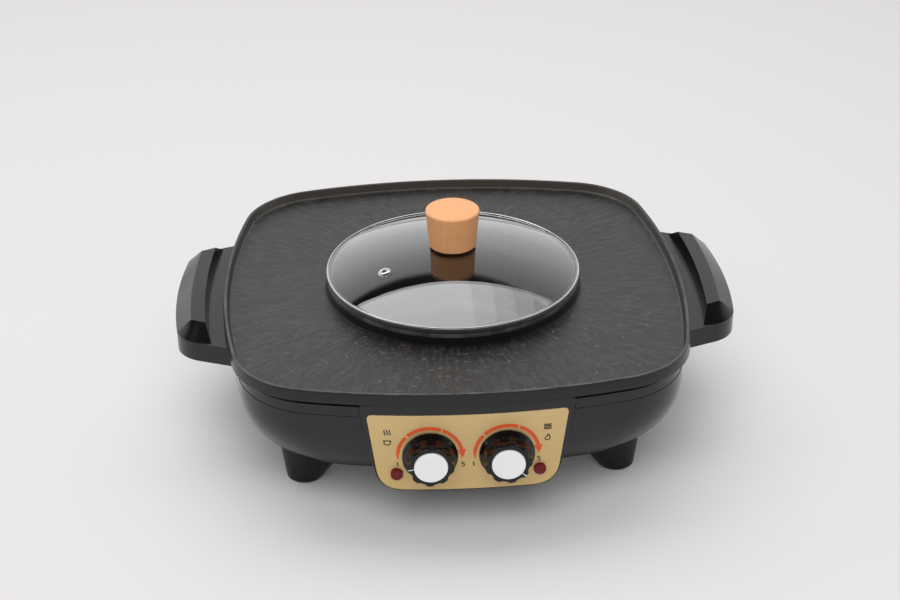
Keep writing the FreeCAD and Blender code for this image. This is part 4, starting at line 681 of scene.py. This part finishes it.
def panel_outline(gain):
    """The face plate's outline as (x, z) points, grown by a gain."""
    top, low = PANEL_HALF_TOP + gain, PANEL_HALF_BOTTOM + gain
    corners = [(low, PANEL_BOTTOM - gain), (top, PANEL_TOP + gain), (-top, PANEL_TOP + gain),
               (-low, PANEL_BOTTOM - gain)]
    radii = [PANEL_CORNER_BOTTOM, PANEL_CORNER_TOP, PANEL_CORNER_TOP, PANEL_CORNER_BOTTOM]
    points = []
    for index, corner in enumerate(corners):
        points.extend(fillet(corners[index - 1], corner, corners[(index + 1) % 4],
                             radii[index] + gain, 10))
    return divided(points)


def divided(points):
    """A closed line with no run longer than LONGEST_RUN."""
    result = []
    for start, end in zip(points, points[1:] + points[:1]):
        start, end = Vector(start), Vector(end)
        count = max(1, math.ceil((end - start).length / LONGEST_RUN))
        result.extend(tuple(start.lerp(end, index / count)) for index in range(count))
    return result


def panel_ring(outline, depth):
    """The outline at a depth behind the face plate's front."""
    return [(x, panel_y(x) + depth, z) for x, z in outline]


def base_ring(outline, depth):
    """The outline at a depth behind the base's front, where the box's walls end."""
    return [(x, max(base_front(x, z), panel_y(x) + 2.0) + depth, z) for x, z in outline]


def moved_out(outline, gain):
    """The outline moved out by a gain along its own normals."""
    moved = []
    for (x, z), before, after in zip(outline, outline[-1:] + outline, outline[1:] + outline[:1]):
        along = (Vector(after) - Vector(before)).normalized()
        moved.append((x + along.y * gain, z - along.x * gain))
    return moved


def brow(outline, gain):
    """The outline grown into the plate's moulding, wide at its top, up to the gap."""
    grown = []
    for x, z in moved_out(outline, gain):
        share = min(max((z - PANEL_BOTTOM) / (PANEL_TOP - PANEL_BOTTOM), 0.0), 1.0)
        spread = math.copysign(BROW_SIDE * share * share, x) * min(abs(x) / BROW_MIDDLE, 1.0)
        lift = (BROW_TOP - PANEL_TOP) * max(share - BROW_STARTS, 0.0) / 0.1
        grown.append((x + spread, min(z + lift, BROW_TOP + gain * 0.3)))
    return grown


def make_panel_box():
    """Moulded box scribed to the base, from behind the plate to the lip round it."""
    edge = panel_outline(0.15)
    inside, lip = moved_out(edge, -2.5), moved_out(edge, 0.3)
    corner, shoulder, wall = (brow(edge, gain) for gain in (0.5, 0.9, 1.2))
    rings = [panel_ring(inside, 3.3), base_ring(inside, 1.6), base_ring(wall, 1.6),
             base_ring(wall, 0.0), panel_ring(wall, 1.8), panel_ring(shoulder, 0.9),
             panel_ring(corner, 0.45), panel_ring(lip, 0.25), panel_ring(edge, 0.25),
             panel_ring(edge, 0.9)]
    Form().rings(rings).add("panel_box", "black_plastic", "cooker", ["control_box"])


def make_panel_shadow_strip():
    """Black strip along the top of the box: a painted shadow in the gap under the pan's skirt."""
    rings = []
    low, high = BROW_TOP + SHADOW_STRIP_LOW, BROW_TOP + SHADOW_STRIP_LOW + SHADOW_STRIP_GAUGE
    for index in range(int(2 * SHADOW_STRIP_HALF / SHADOW_STRIP_STEP) + 1):
        x = SHADOW_STRIP_STEP * index - SHADOW_STRIP_HALF
        front, back = panel_y(x) + 1.2, base_front(x, BROW_TOP) - 0.2
        rings.append([(x, front, low), (x, front + 0.2, low + 0.5), (x, front + 0.6, high),
                      (x, back, high), (x, back, low)])
    Form().rings(rings).add("panel_shadow_strip", "seal_silicone", "cooker")


def make_panel_plate():
    """Bowed sheet, built up from upright strips."""
    outline = panel_outline(0.0)
    half = max(outline)[0]
    even = {half * index / 40 for index in range(-40, 41)}
    edges = sorted({round(point[0], 3) for point in outline} | even)
    strips = [x for index, x in enumerate(edges) if index == 0 or x - edges[index - 1] > 0.02]
    rings = []
    for x in strips:
        heights = crossings(outline, min(max(x, -half + 0.01), half - 0.01))
        bottom, top = min(heights), max(heights)
        face = panel_y(x)
        back, bend = face + PANEL_GAUGE, face + PANEL_EDGE
        rings.append([(x, back, bottom), (x, bend, bottom), (x, face, bottom + PANEL_EDGE),
                      (x, face, top - PANEL_EDGE), (x, bend, top), (x, back, top)])
    Form().rings(rings).add("panel_plate", "gold_plate", "cooker", ["face_plate"])


def crossings(outline, x):
    """Heights at which an outline crosses an upright line."""
    heights = []
    for (x0, z0), (x1, z1) in zip(outline, outline[1:] + outline[:1]):
        if (x0 - x) * (x1 - x) <= 0 and x0 != x1:
            heights.append(z0 + (z1 - z0) * (x - x0) / (x1 - x0))
    return heights


def facing(profile, x, z, around, reach=None):
    """Form turned about a line towards the cook, from (radius, distance out) pairs."""
    rings = []
    for radius, out in profile:
        points = [polar(reach(a, radius) if reach else radius, a, (x, z)) for a in steps(around)]
        rings.append([(u, PLATE_FACE - out, v) for u, v in points])
    return Form().rings(rings)


def make_lenses():
    for side, x in (("left", -LAMP_X), ("right", LAMP_X)):
        lens = facing(LENS, x, LAMP_Z, 40)
        lens.add("lens_" + side, "lens_red", "cooker", ["indicator_lens_" + side])


# -------- the dials

FLUTES, FLUTE_RADIUS, FLUTE_DEPTH = 9, 5.4, 1.7
GRIP_RADIUS = 17.2
DIAL_ANGLES = {"left": 187.0, "right": -40.0}
# (radius, distance out) pairs: the flared skirt, the grip, its rounded edge, the cap's seat.
DIAL = [(4.0, 0.4), (19.6, 0.4), (20.05, 0.8), (20.05, 1.8), (19.7, 2.4), (18.9, 3.0),
        (18.4, 3.5), (17.8, 4.2), (17.55, 5.2), (GRIP_RADIUS, 6.4), (GRIP_RADIUS, 8.5),
        (GRIP_RADIUS, 10.5), (GRIP_RADIUS, 12.6), (GRIP_RADIUS - 0.15, 13.4),
        (GRIP_RADIUS - 0.5, 14.0), (GRIP_RADIUS - 1.2, 14.3), (15.0, 14.4), (13.6, 14.4),
        (12.4, 14.4), (12.25, 14.2), (12.25, 13.0), (4.0, 13.0)]
# The white mark: distances from the dial's middle, its widths there, and its depth.
MARK_REACH, MARK_WIDTH = (12.3, 13.7, 15.2, 16.6), (0.55, 0.6, 0.6, 0.5)
MARK_BACK, MARK_FACE = 13.4, 14.5


def fluted(angle, radius):
    """Reach of the grip in a direction: round lobes between nine scooped flutes."""
    period = math.tau / FLUTES
    off = (angle + period / 2) % period - period / 2
    centre = radius + FLUTE_RADIUS - FLUTE_DEPTH
    sideways = centre * math.sin(off)
    if abs(sideways) >= FLUTE_RADIUS:
        return radius
    return min(radius, centre * math.cos(off) - math.sqrt(FLUTE_RADIUS ** 2 - sideways ** 2))


def dial_reach(turn):
    """Plain circle at the skirt, softened flutes above it."""
    def reach(angle, radius):
        if radius > GRIP_RADIUS + 0.3 or radius < GRIP_RADIUS - 1.3:
            return radius
        local = angle - turn - math.pi / FLUTES
        blur = [fluted(local + math.radians(step), radius) for step in (-2, -1, 0, 1, 2)]
        return sum(blur) / len(blur)
    return reach


def make_dials():
    """Dials: a flared skirt, a fluted grip and a seat for the cap."""
    for side, x, body in (("left", -DIAL_X, "pot_dial"), ("right", DIAL_X, "grill_dial")):
        dial = facing(DIAL, x, DIAL_Z, 216, dial_reach(math.radians(DIAL_ANGLES[side])))
        dial.add("dial_" + side, "knob_plastic", body, ["knob_" + side])
        make_pointer(side, x, body)


def make_pointer(side, x, body):
    """White mark let into the grip's end, from the cap to the edge."""
    along = Vector(polar(1.0, math.radians(DIAL_ANGLES[side])))
    line = [tuple(Vector((x, DIAL_Z)) + along * reach) for reach in MARK_REACH]
    form = Form()
    form.ribbon(line, MARK_WIDTH, lambda u, v, out: (u, PLATE_FACE - out, v), MARK_BACK, MARK_FACE)
    form.add("pointer_" + side, "pointer_white", body, ["knob_pointer_" + side])


# -------- the lid

GLASS_APEX, GLASS_EDGE, GLASS_GAUGE = 151.0, 132.05, 3.6
DOME_RADIUS, GLASS_RADIUS, SCREW_HOLE = 97.9, 99.3, 2.3
LID_AROUND = 256
STEEL_BAND = [(97.2, 127.75), (98.9, 127.7), (99.6, 127.9), (99.95, 128.4), (100.0, 129.2),
              (100.0, 131.2), (99.9, 131.95), (99.6, 132.5), (99.2, 132.7), (98.8, 132.65),
              (98.55, 132.4), (98.6, 132.15), (99.3, 132.1), (99.45, 131.6), (99.45, 128.6),
              (99.2, 128.25), (97.2, 128.2)]


def dome_height(radius):
    """The dome's upper face: nearly spherical, a little fuller towards its edge."""
    part = radius / DOME_RADIUS
    return GLASS_EDGE + (GLASS_APEX - GLASS_EDGE) * (1 - part * part * (0.97 + 0.03 * part * part))


def make_lid_glass():
    """Domed glass with a hole for the knob's screw, turned in one piece."""
    radii = [SCREW_HOLE] + [4.0 + (DOME_RADIUS - 4.0) * index / 56 for index in range(57)]
    upper = [(radius, dome_height(radius)) for radius in radii]
    bend = [(DOME_RADIUS + 0.35, GLASS_EDGE - 0.06), (GLASS_RADIUS, GLASS_EDGE - 0.1)]
    lower = [(radius, height - GLASS_GAUGE) for radius, height in upper]
    section = upper + bend + [(GLASS_RADIUS, GLASS_EDGE - GLASS_GAUGE + 0.1)] + lower[::-1]
    Form().washer(section, LID_AROUND).add("lid_dome", "lid_glass", "lid", ["lid_glass"])


def make_lid_rim():
    """Rolled steel band that wraps the glass's edge."""
    Form().washer(STEEL_BAND, LID_AROUND).add("lid_band", "rim_steel", "lid", ["lid_rim"])


# -------- print on the face plate

SCALE_INNER, SCALE_OUTER = 21.7, 24.5
SCALE_SPANS = ((188.0, 137.5), (134.0, 69.5), (66.5, 12.0))
ARROW_END, ARROW_WIDTH, ARROW_TAPER = -6.0, 2.3, 0.24
INK_BED, INK = -0.1, 0.06

# Strokes of the numbers and pictures; then where each stands, and the width of its lines.
NUMBER_LOW = [[(-0.8, 1.0), (0.2, 1.8), (0.2, -1.8)]]
NUMBER_HIGH = [[(1.0, 1.7), (-0.8, 1.7), (-0.9, 0.2), (0.2, 0.5), (1.0, 0.0), (1.1, -0.9),
                (0.4, -1.7), (-1.0, -1.5)]]
STEAM = [[(x, -2.2), (x + 0.6, -1.0), (x - 0.4, 0.5), (x + 0.3, 2.2)] for x in (-1.9, 0.0, 1.9)]
POT = [[(-3.0, 1.3), (3.0, 1.3)],
       [(-2.3, 1.3), (-2.1, -1.2), (-1.3, -2.1), (1.3, -2.1), (2.1, -1.2), (2.3, 1.3)]]
GRATE = [[(-2.8, z), (2.8, z)] for z in (-1.9, -0.65, 0.6, 1.85)]
FLAME = [[(0.2, 2.7), (1.5, 0.8), (1.9, -0.9), (1.1, -2.3), (-1.1, -2.3), (-1.9, -0.9),
          (-1.2, 0.5), (-0.5, 0.1), (0.2, 2.7)]]
MARKS = [(NUMBER_LOW, -51.0, 65.4, 0.85), (NUMBER_HIGH, -4.0, 64.9, 0.85),
         (NUMBER_LOW, 3.6, 64.8, 0.85), (NUMBER_HIGH, 50.7, 65.7, 0.85),
         (STEAM, -57.9, 92.3, 0.9), (POT, -57.9, 84.0, 0.9), (GRATE, 56.9, 92.4, 0.9),
         (FLAME, 56.9, 83.4, 0.9)]


def on_plate(x, z, out):
    """A point over the face plate, out towards the cook."""
    return (x, panel_y(x) - out, z)


def scale_arc(centre_x, start, end, count=16):
    """Points along a dial's scale, between two directions in degrees."""
    radius = (SCALE_INNER + SCALE_OUTER) / 2
    angles = [math.radians(start + (end - start) * index / count) for index in range(count + 1)]
    return [polar(radius, angle, (centre_x, DIAL_Z)) for angle in angles]


def make_scales():
    """Orange arcs that grow from the low end to an arrowhead at the high end."""
    form = Form()
    full = SCALE_OUTER - SCALE_INNER
    for centre_x in (-DIAL_X, DIAL_X):
        for start, end in SCALE_SPANS:
            line = scale_arc(centre_x, start, end)
            growing = start == SCALE_SPANS[0][0]
            widths = [full * (min(1.0, 0.35 + 0.12 * index) if growing else 1.0)
                      for index in range(len(line))]
            form.ribbon(line, widths, on_plate, INK_BED, INK)
        head = scale_arc(centre_x, SCALE_SPANS[-1][1], ARROW_END, 4)
        widths = [full * ARROW_WIDTH * (1 - ARROW_TAPER * index) for index in range(len(head))]
        form.ribbon(head, widths, on_plate, INK_BED, INK)
    form.add("dial_scales", "print_orange", "cooker")


def make_marks():
    """Plain numbers at the ends of the scales, and a small picture above each lamp."""
    form = Form()
    for marks, x, z, width in MARKS:
        for mark in marks:
            line = [(x + u, z + v) for u, v in mark]
            form.ribbon(line, [width] * len(line), on_plate, INK_BED, INK)
    form.add("plate_marks", "print_dark", "cooker")


# -------- mouldings with softened edges

WELD, NEARLY_FLAT, EDGE_ANGLE = 0.00001, math.radians(0.6), 0.5


def soften(node, name, width):
    """Copy of a black moulding with its edges rounded by a width in millimetres."""
    mesh = NODES[node].data.copy()
    form = bmesh.new()
    form.from_mesh(mesh)
    bmesh.ops.remove_doubles(form, verts=form.verts, dist=WELD)
    bmesh.ops.dissolve_limit(form, angle_limit=NEARLY_FLAT, verts=form.verts, edges=form.edges)
    bmesh.ops.bevel(form, geom=turning_edges(form, EDGE_ANGLE), offset=width * MM, segments=3,
                    profile=0.5, affect="EDGES", clamp_overlap=True)
    for face in form.faces:
        face.smooth = True
    form.to_mesh(mesh)
    form.free()
    introduce(mesh, name, "black_plastic", "cooker", [node])
    keep_faces_flat(mesh)


def keep_faces_flat(mesh):
    """Shading normals that follow the large faces, so that only the edges turn."""
    normals = [Vector() for _ in mesh.vertices]
    for face in mesh.polygons:
        for index in face.vertices:
            normals[index] += face.normal * face.area
    mesh.normals_split_custom_set_from_vertices([normal.normalized() for normal in normals])


def make_handles(settings):
    for side in ("left", "right"):
        soften("handle_" + side, "handle_body_" + side, settings.edge_round)


# -------- stage

FLOOR_GLOW = 0.45
SHADE_NEAR, SHADE_FAR, SHADED_GLOW = 0.15, 0.28, 0.1

# Where the sky's bands change: heights, and places from front to back.
BACK_FADES, BAND_FADES, BAND_ENDS = (0.35, 0.76), (0.15, 0.36), (0.55, 0.7)
BEHIND_BEGINS, SIDES_BEGIN = (0.05, 0.45), (-0.75, -0.2)
SWEEP_ENDS, SWEEP_LEAN, RIGHT_DIMMED, CEILING = (0.69, 0.72), 0.08, 0.2, 0.03
SKY_COLOUR = (0.985, 0.99, 1.0, 1.0)

# The light overhead, the strips that carry it on to the right, and its place.
SOFTBOX_LEFT, SOFTBOX_RIGHT, SOFTBOX_STRIPS = -1.4, 0.25, 5
SOFTBOX_DEPTH, SOFTBOX_Y, SOFTBOX_HEIGHT = 1.15, 0.82, 1.9
# The other two lights: place, aim and sides.
FRONT_PLACE, FRONT_AIM, FRONT_SIZE = (-0.3, 0.04, SOFTBOX_HEIGHT), (-0.3, 0.04, 0.0), (2.2, 0.4)
FILL_PLACE, FILL_AIM, FILL_SIZE = (-0.15, -1.5, 1.7), (0.0, 0.0, 0.1), (1.8, 1.2)


def floor_finish():
    """Pale grey paper, partly lit by itself, less so round the pot."""
    f = Finish("floor_paper")
    x, y, _ = f.axes()
    cloud = f.noise(1.2, 2.0)
    tone = f.mix(f.step(y, -0.3, 0.7), f.mix(cloud, "#DEDCDC", "#E2E1E1"),
                 f.mix(cloud, "#DFDCDC", "#E3E1E1"))
    paper = f.shader(Base_Color=tone, Roughness=0.85,
                     Normal=f.bump(f.noise(700.0, 2.0), 0.00004, 0.2))
    glow = f.node("Emission", {"Color": rgb("#E2DFDF"), "Strength": 1.0})
    camera, glossy, through = (f.node("LightPath", output=ray) for ray in
                               ("Is Camera Ray", "Is Glossy Ray", "Is Transmission Ray"))
    # Less glow round the pot: a painted shadow on the floor.
    away = (x * x + (y - AXIS_Y * MM) ** 2) ** 0.5
    share = f.step(camera + glossy + through, 0.0, 1.0, 0.0, FLOOR_GLOW) * f.step(
        away, SHADE_NEAR, SHADE_FAR, SHADED_GLOW, 1.0)
    return f.blended(share, paper, glow)


def make_floor(settings):
    mesh = bpy.data.meshes.new("floor")
    form = bmesh.new()
    bmesh.ops.create_grid(form, x_segments=8, y_segments=8, size=settings.floor_half)
    form.to_mesh(mesh)
    form.free()
    mesh.materials.append(floor_finish())
    linked("floor", mesh)


def make_sky(settings):
    """Pale sweep behind, fading upwards, and a bright low band under a dark ceiling."""
    f = Finish("studio", "worlds")
    x, y, z = f.split(f.node("TexCoord", output="Generated"))
    behind = f.step(y, *BEHIND_BEGINS)
    sweep = f.step(z - x * SWEEP_LEAN, *SWEEP_ENDS, 1.0, 0.0) * f.step(
        z, *BACK_FADES, settings.sky_back, settings.sky_back * settings.sky_fade)
    band = f.step(z, *BAND_FADES, settings.sky_front, settings.sky_high) * f.step(
        z, *BAND_ENDS, 1.0, 0.0) * f.step(y, *SIDES_BEGIN, 0.4, 1.0)
    strength = sweep * behind * (1.0 - x * RIGHT_DIMMED) + band * (1.0 - behind) + CEILING
    sky = f.node("Background", {"Color": SKY_COLOUR, "Strength": strength})
    bpy.context.scene.world = f.output(sky, "World")


def add_lamp(name, at, aim, size, power, mirrored=False):
    """Rectangular light facing a point; glossy surfaces show it if mirrored."""
    light = bpy.data.lights.new(name, "AREA")
    light.shape = "RECTANGLE"
    light.size, light.size_y = size
    light.energy = power
    lamp = linked(name, light)
    lamp.location = at
    lamp.rotation_euler = (Vector(aim) - Vector(at)).to_track_quat("-Z", "Y").to_euler()
    lamp.visible_glossy = mirrored


def make_softboxes(settings):
    """Light overhead that fades to its right, one nearer the cook, and a fill."""
    width = (-SOFTBOX_LEFT - SOFTBOX_RIGHT) / SOFTBOX_STRIPS
    parts = [((SOFTBOX_LEFT + SOFTBOX_RIGHT) / 2, SOFTBOX_RIGHT - SOFTBOX_LEFT, 1.0)]
    parts += [(SOFTBOX_RIGHT + width * (index + 0.5), width,
               1.0 - settings.softbox_fade * (index + 1)) for index in range(SOFTBOX_STRIPS)]
    for index, (x, size, share) in enumerate(parts):
        add_lamp("softbox_%d" % index, (x, SOFTBOX_Y, SOFTBOX_HEIGHT), (x, SOFTBOX_Y, 0.0),
                 (size, SOFTBOX_DEPTH), settings.softbox_power * size * SOFTBOX_DEPTH * share, True)
    add_lamp("softbox_front", FRONT_PLACE, FRONT_AIM, FRONT_SIZE,
             settings.softbox_power * (FRONT_SIZE[0] * FRONT_SIZE[1]))
    add_lamp("softbox_fill", FILL_PLACE, FILL_AIM, FILL_SIZE, settings.fill_power)


def make_camera(settings):
    data = bpy.data.cameras.new("view")
    data.lens = settings.lens
    camera = linked("view", data)
    turn = Matrix.Rotation(settings.camera_azimuth, 4, "Z")
    tilt = Matrix.Rotation(math.pi / 2 - settings.camera_elevation, 4, "X")
    roll = Matrix.Rotation(settings.camera_roll, 4, "Z")
    camera.matrix_world = Matrix.Translation(settings.camera_place) @ turn @ tilt @ roll
    bpy.context.scene.camera = camera


# -------- settings, operators, panel

class StageSettings(bpy.types.PropertyGroup):
    """Camera, lights and floor."""
    floor_half: FloatProperty(
        name="Floor half width", description="Half the floor's side", default=9.0, unit="LENGTH")
    sky_back: FloatProperty(
        name="Sweep behind", description="Light of the sweep at the horizon", default=0.92)
    sky_fade: FloatProperty(
        name="Sweep's fade", description="How much of it is left at its edge", default=0.6)
    sky_front: FloatProperty(
        name="Low band", description="Light of the room low down all round", default=1.1)
    sky_high: FloatProperty(
        name="Band's top", description="What is left of the band higher up", default=0.35, min=0.0)
    softbox_power: FloatProperty(
        name="Softbox", description="Power of each square metre of it", default=9.2, min=0.0)
    softbox_fade: FloatProperty(
        name="Softbox's fade", description="Power lost from strip to strip", default=0.13,
        min=0.0, max=0.19)
    fill_power: FloatProperty(
        name="Fill", description="Weak light from the cook's left", default=31.0, unit="POWER")
    lens: FloatProperty(name="Lens", description="Focal length in millimetres", default=66.83)
    camera_place: FloatVectorProperty(
        name="Camera", description="Where the camera stands",
        default=(-0.06697, -1.16089, 0.74799), subtype="TRANSLATION")
    camera_azimuth: FloatProperty(
        name="Azimuth", description="Camera turn about the upright axis",
        default=math.radians(-3.161), subtype="ANGLE")
    camera_elevation: FloatProperty(
        name="Elevation", description="How far the camera looks down",
        default=math.radians(28.935), subtype="ANGLE")
    camera_roll: FloatProperty(
        name="Roll", description="Camera turn about its own view",
        default=math.radians(-0.543), subtype="ANGLE")


class PieceSettings(bpy.types.PropertyGroup):
    """Surface of the grill pan and softness of the mouldings."""
    stroke_depth: FloatProperty(
        name="Stroke depth", description="Depth of the chisel strokes, in mm", default=0.26,
        min=0.0, max=0.8)
    edge_round: FloatProperty(
        name="Edge rounding", description="Rounding of moulded edges, in mm", default=0.5,
        min=0.1, max=1.4)


class HOTPOT_OT_pan(bpy.types.Operator):
    """Build the cast pan with its chiselled grill floor"""
    bl_idname = "hotpot.pan"
    bl_label = "Grill pan"

    def execute(self, context):
        make_pan(context.scene.hotpot_pieces)
        return {"FINISHED"}


class HOTPOT_OT_handles(bpy.types.Operator):
    """Build the moulded handles with softened edges"""
    bl_idname = "hotpot.handles"
    bl_label = "Handles"

    def execute(self, context):
        make_handles(context.scene.hotpot_pieces)
        return {"FINISHED"}


class HOTPOT_OT_controls(bpy.types.Operator):
    """Build the bowed control panel, its lenses and the two dials"""
    bl_idname = "hotpot.controls"
    bl_label = "Controls"

    def execute(self, context):
        make_panel_box()
        make_panel_shadow_strip()
        make_panel_plate()
        make_lenses()
        make_dials()
        return {"FINISHED"}


class HOTPOT_OT_lid(bpy.types.Operator):
    """Build the glass dome and its rolled steel band"""
    bl_idname = "hotpot.lid"
    bl_label = "Lid"

    def execute(self, context):
        make_lid_glass()
        make_lid_rim()
        return {"FINISHED"}


class HOTPOT_OT_print(bpy.types.Operator):
    """Print the dial scales and marks on the face plate"""
    bl_idname = "hotpot.print"
    bl_label = "Plate print"

    def execute(self, context):
        make_scales()
        make_marks()
        return {"FINISHED"}


class HOTPOT_OT_stage(bpy.types.Operator):
    """Set up the camera, the lights and the floor"""
    bl_idname = "hotpot.stage"
    bl_label = "Stage"

    def execute(self, context):
        settings = context.scene.hotpot_stage
        make_camera(settings)
        make_floor(settings)
        make_sky(settings)
        make_softboxes(settings)
        return {"FINISHED"}


class HOTPOT_OT_finishes(bpy.types.Operator):
    """Give every part of the frame its finish"""
    bl_idname = "hotpot.finishes"
    bl_label = "Finishes"

    def execute(self, context):
        build_finishes()
        for part in frame["record"]["subparts"]:
            wear(NODES[part["node"]], part["material_slot"])
        return {"FINISHED"}


OPERATORS = [HOTPOT_OT_stage, HOTPOT_OT_finishes, HOTPOT_OT_pan, HOTPOT_OT_handles,
             HOTPOT_OT_controls, HOTPOT_OT_lid, HOTPOT_OT_print]


class HOTPOT_PT_panel(bpy.types.Panel):
    """Buttons for each group of pieces"""
    bl_label = "Hot Pot"
    bl_idname = "HOTPOT_PT_panel"
    bl_space_type = "VIEW_3D"
    bl_region_type = "UI"
    bl_category = "Hot Pot"

    def draw(self, context):
        for operator in OPERATORS:
            self.layout.operator(operator.bl_idname)


SETTINGS = {"hotpot_stage": StageSettings, "hotpot_pieces": PieceSettings}
CLASSES = list(SETTINGS.values()) + OPERATORS + [HOTPOT_PT_panel]


def register():
    for each in CLASSES:
        bpy.utils.register_class(each)
    for name, group in SETTINGS.items():
        setattr(bpy.types.Scene, name, PointerProperty(type=group))


def unregister():
    for name in SETTINGS:
        delattr(bpy.types.Scene, name)
    for each in reversed(CLASSES):
        bpy.utils.unregister_class(each)


def main():
    register()
    bpy.context.scene.view_settings.view_transform = "Standard"
    for operator in OPERATORS:
        group, name = operator.bl_idname.split(".")
        getattr(getattr(bpy.ops, group), name)()


if __name__ == "__main__":
    main()
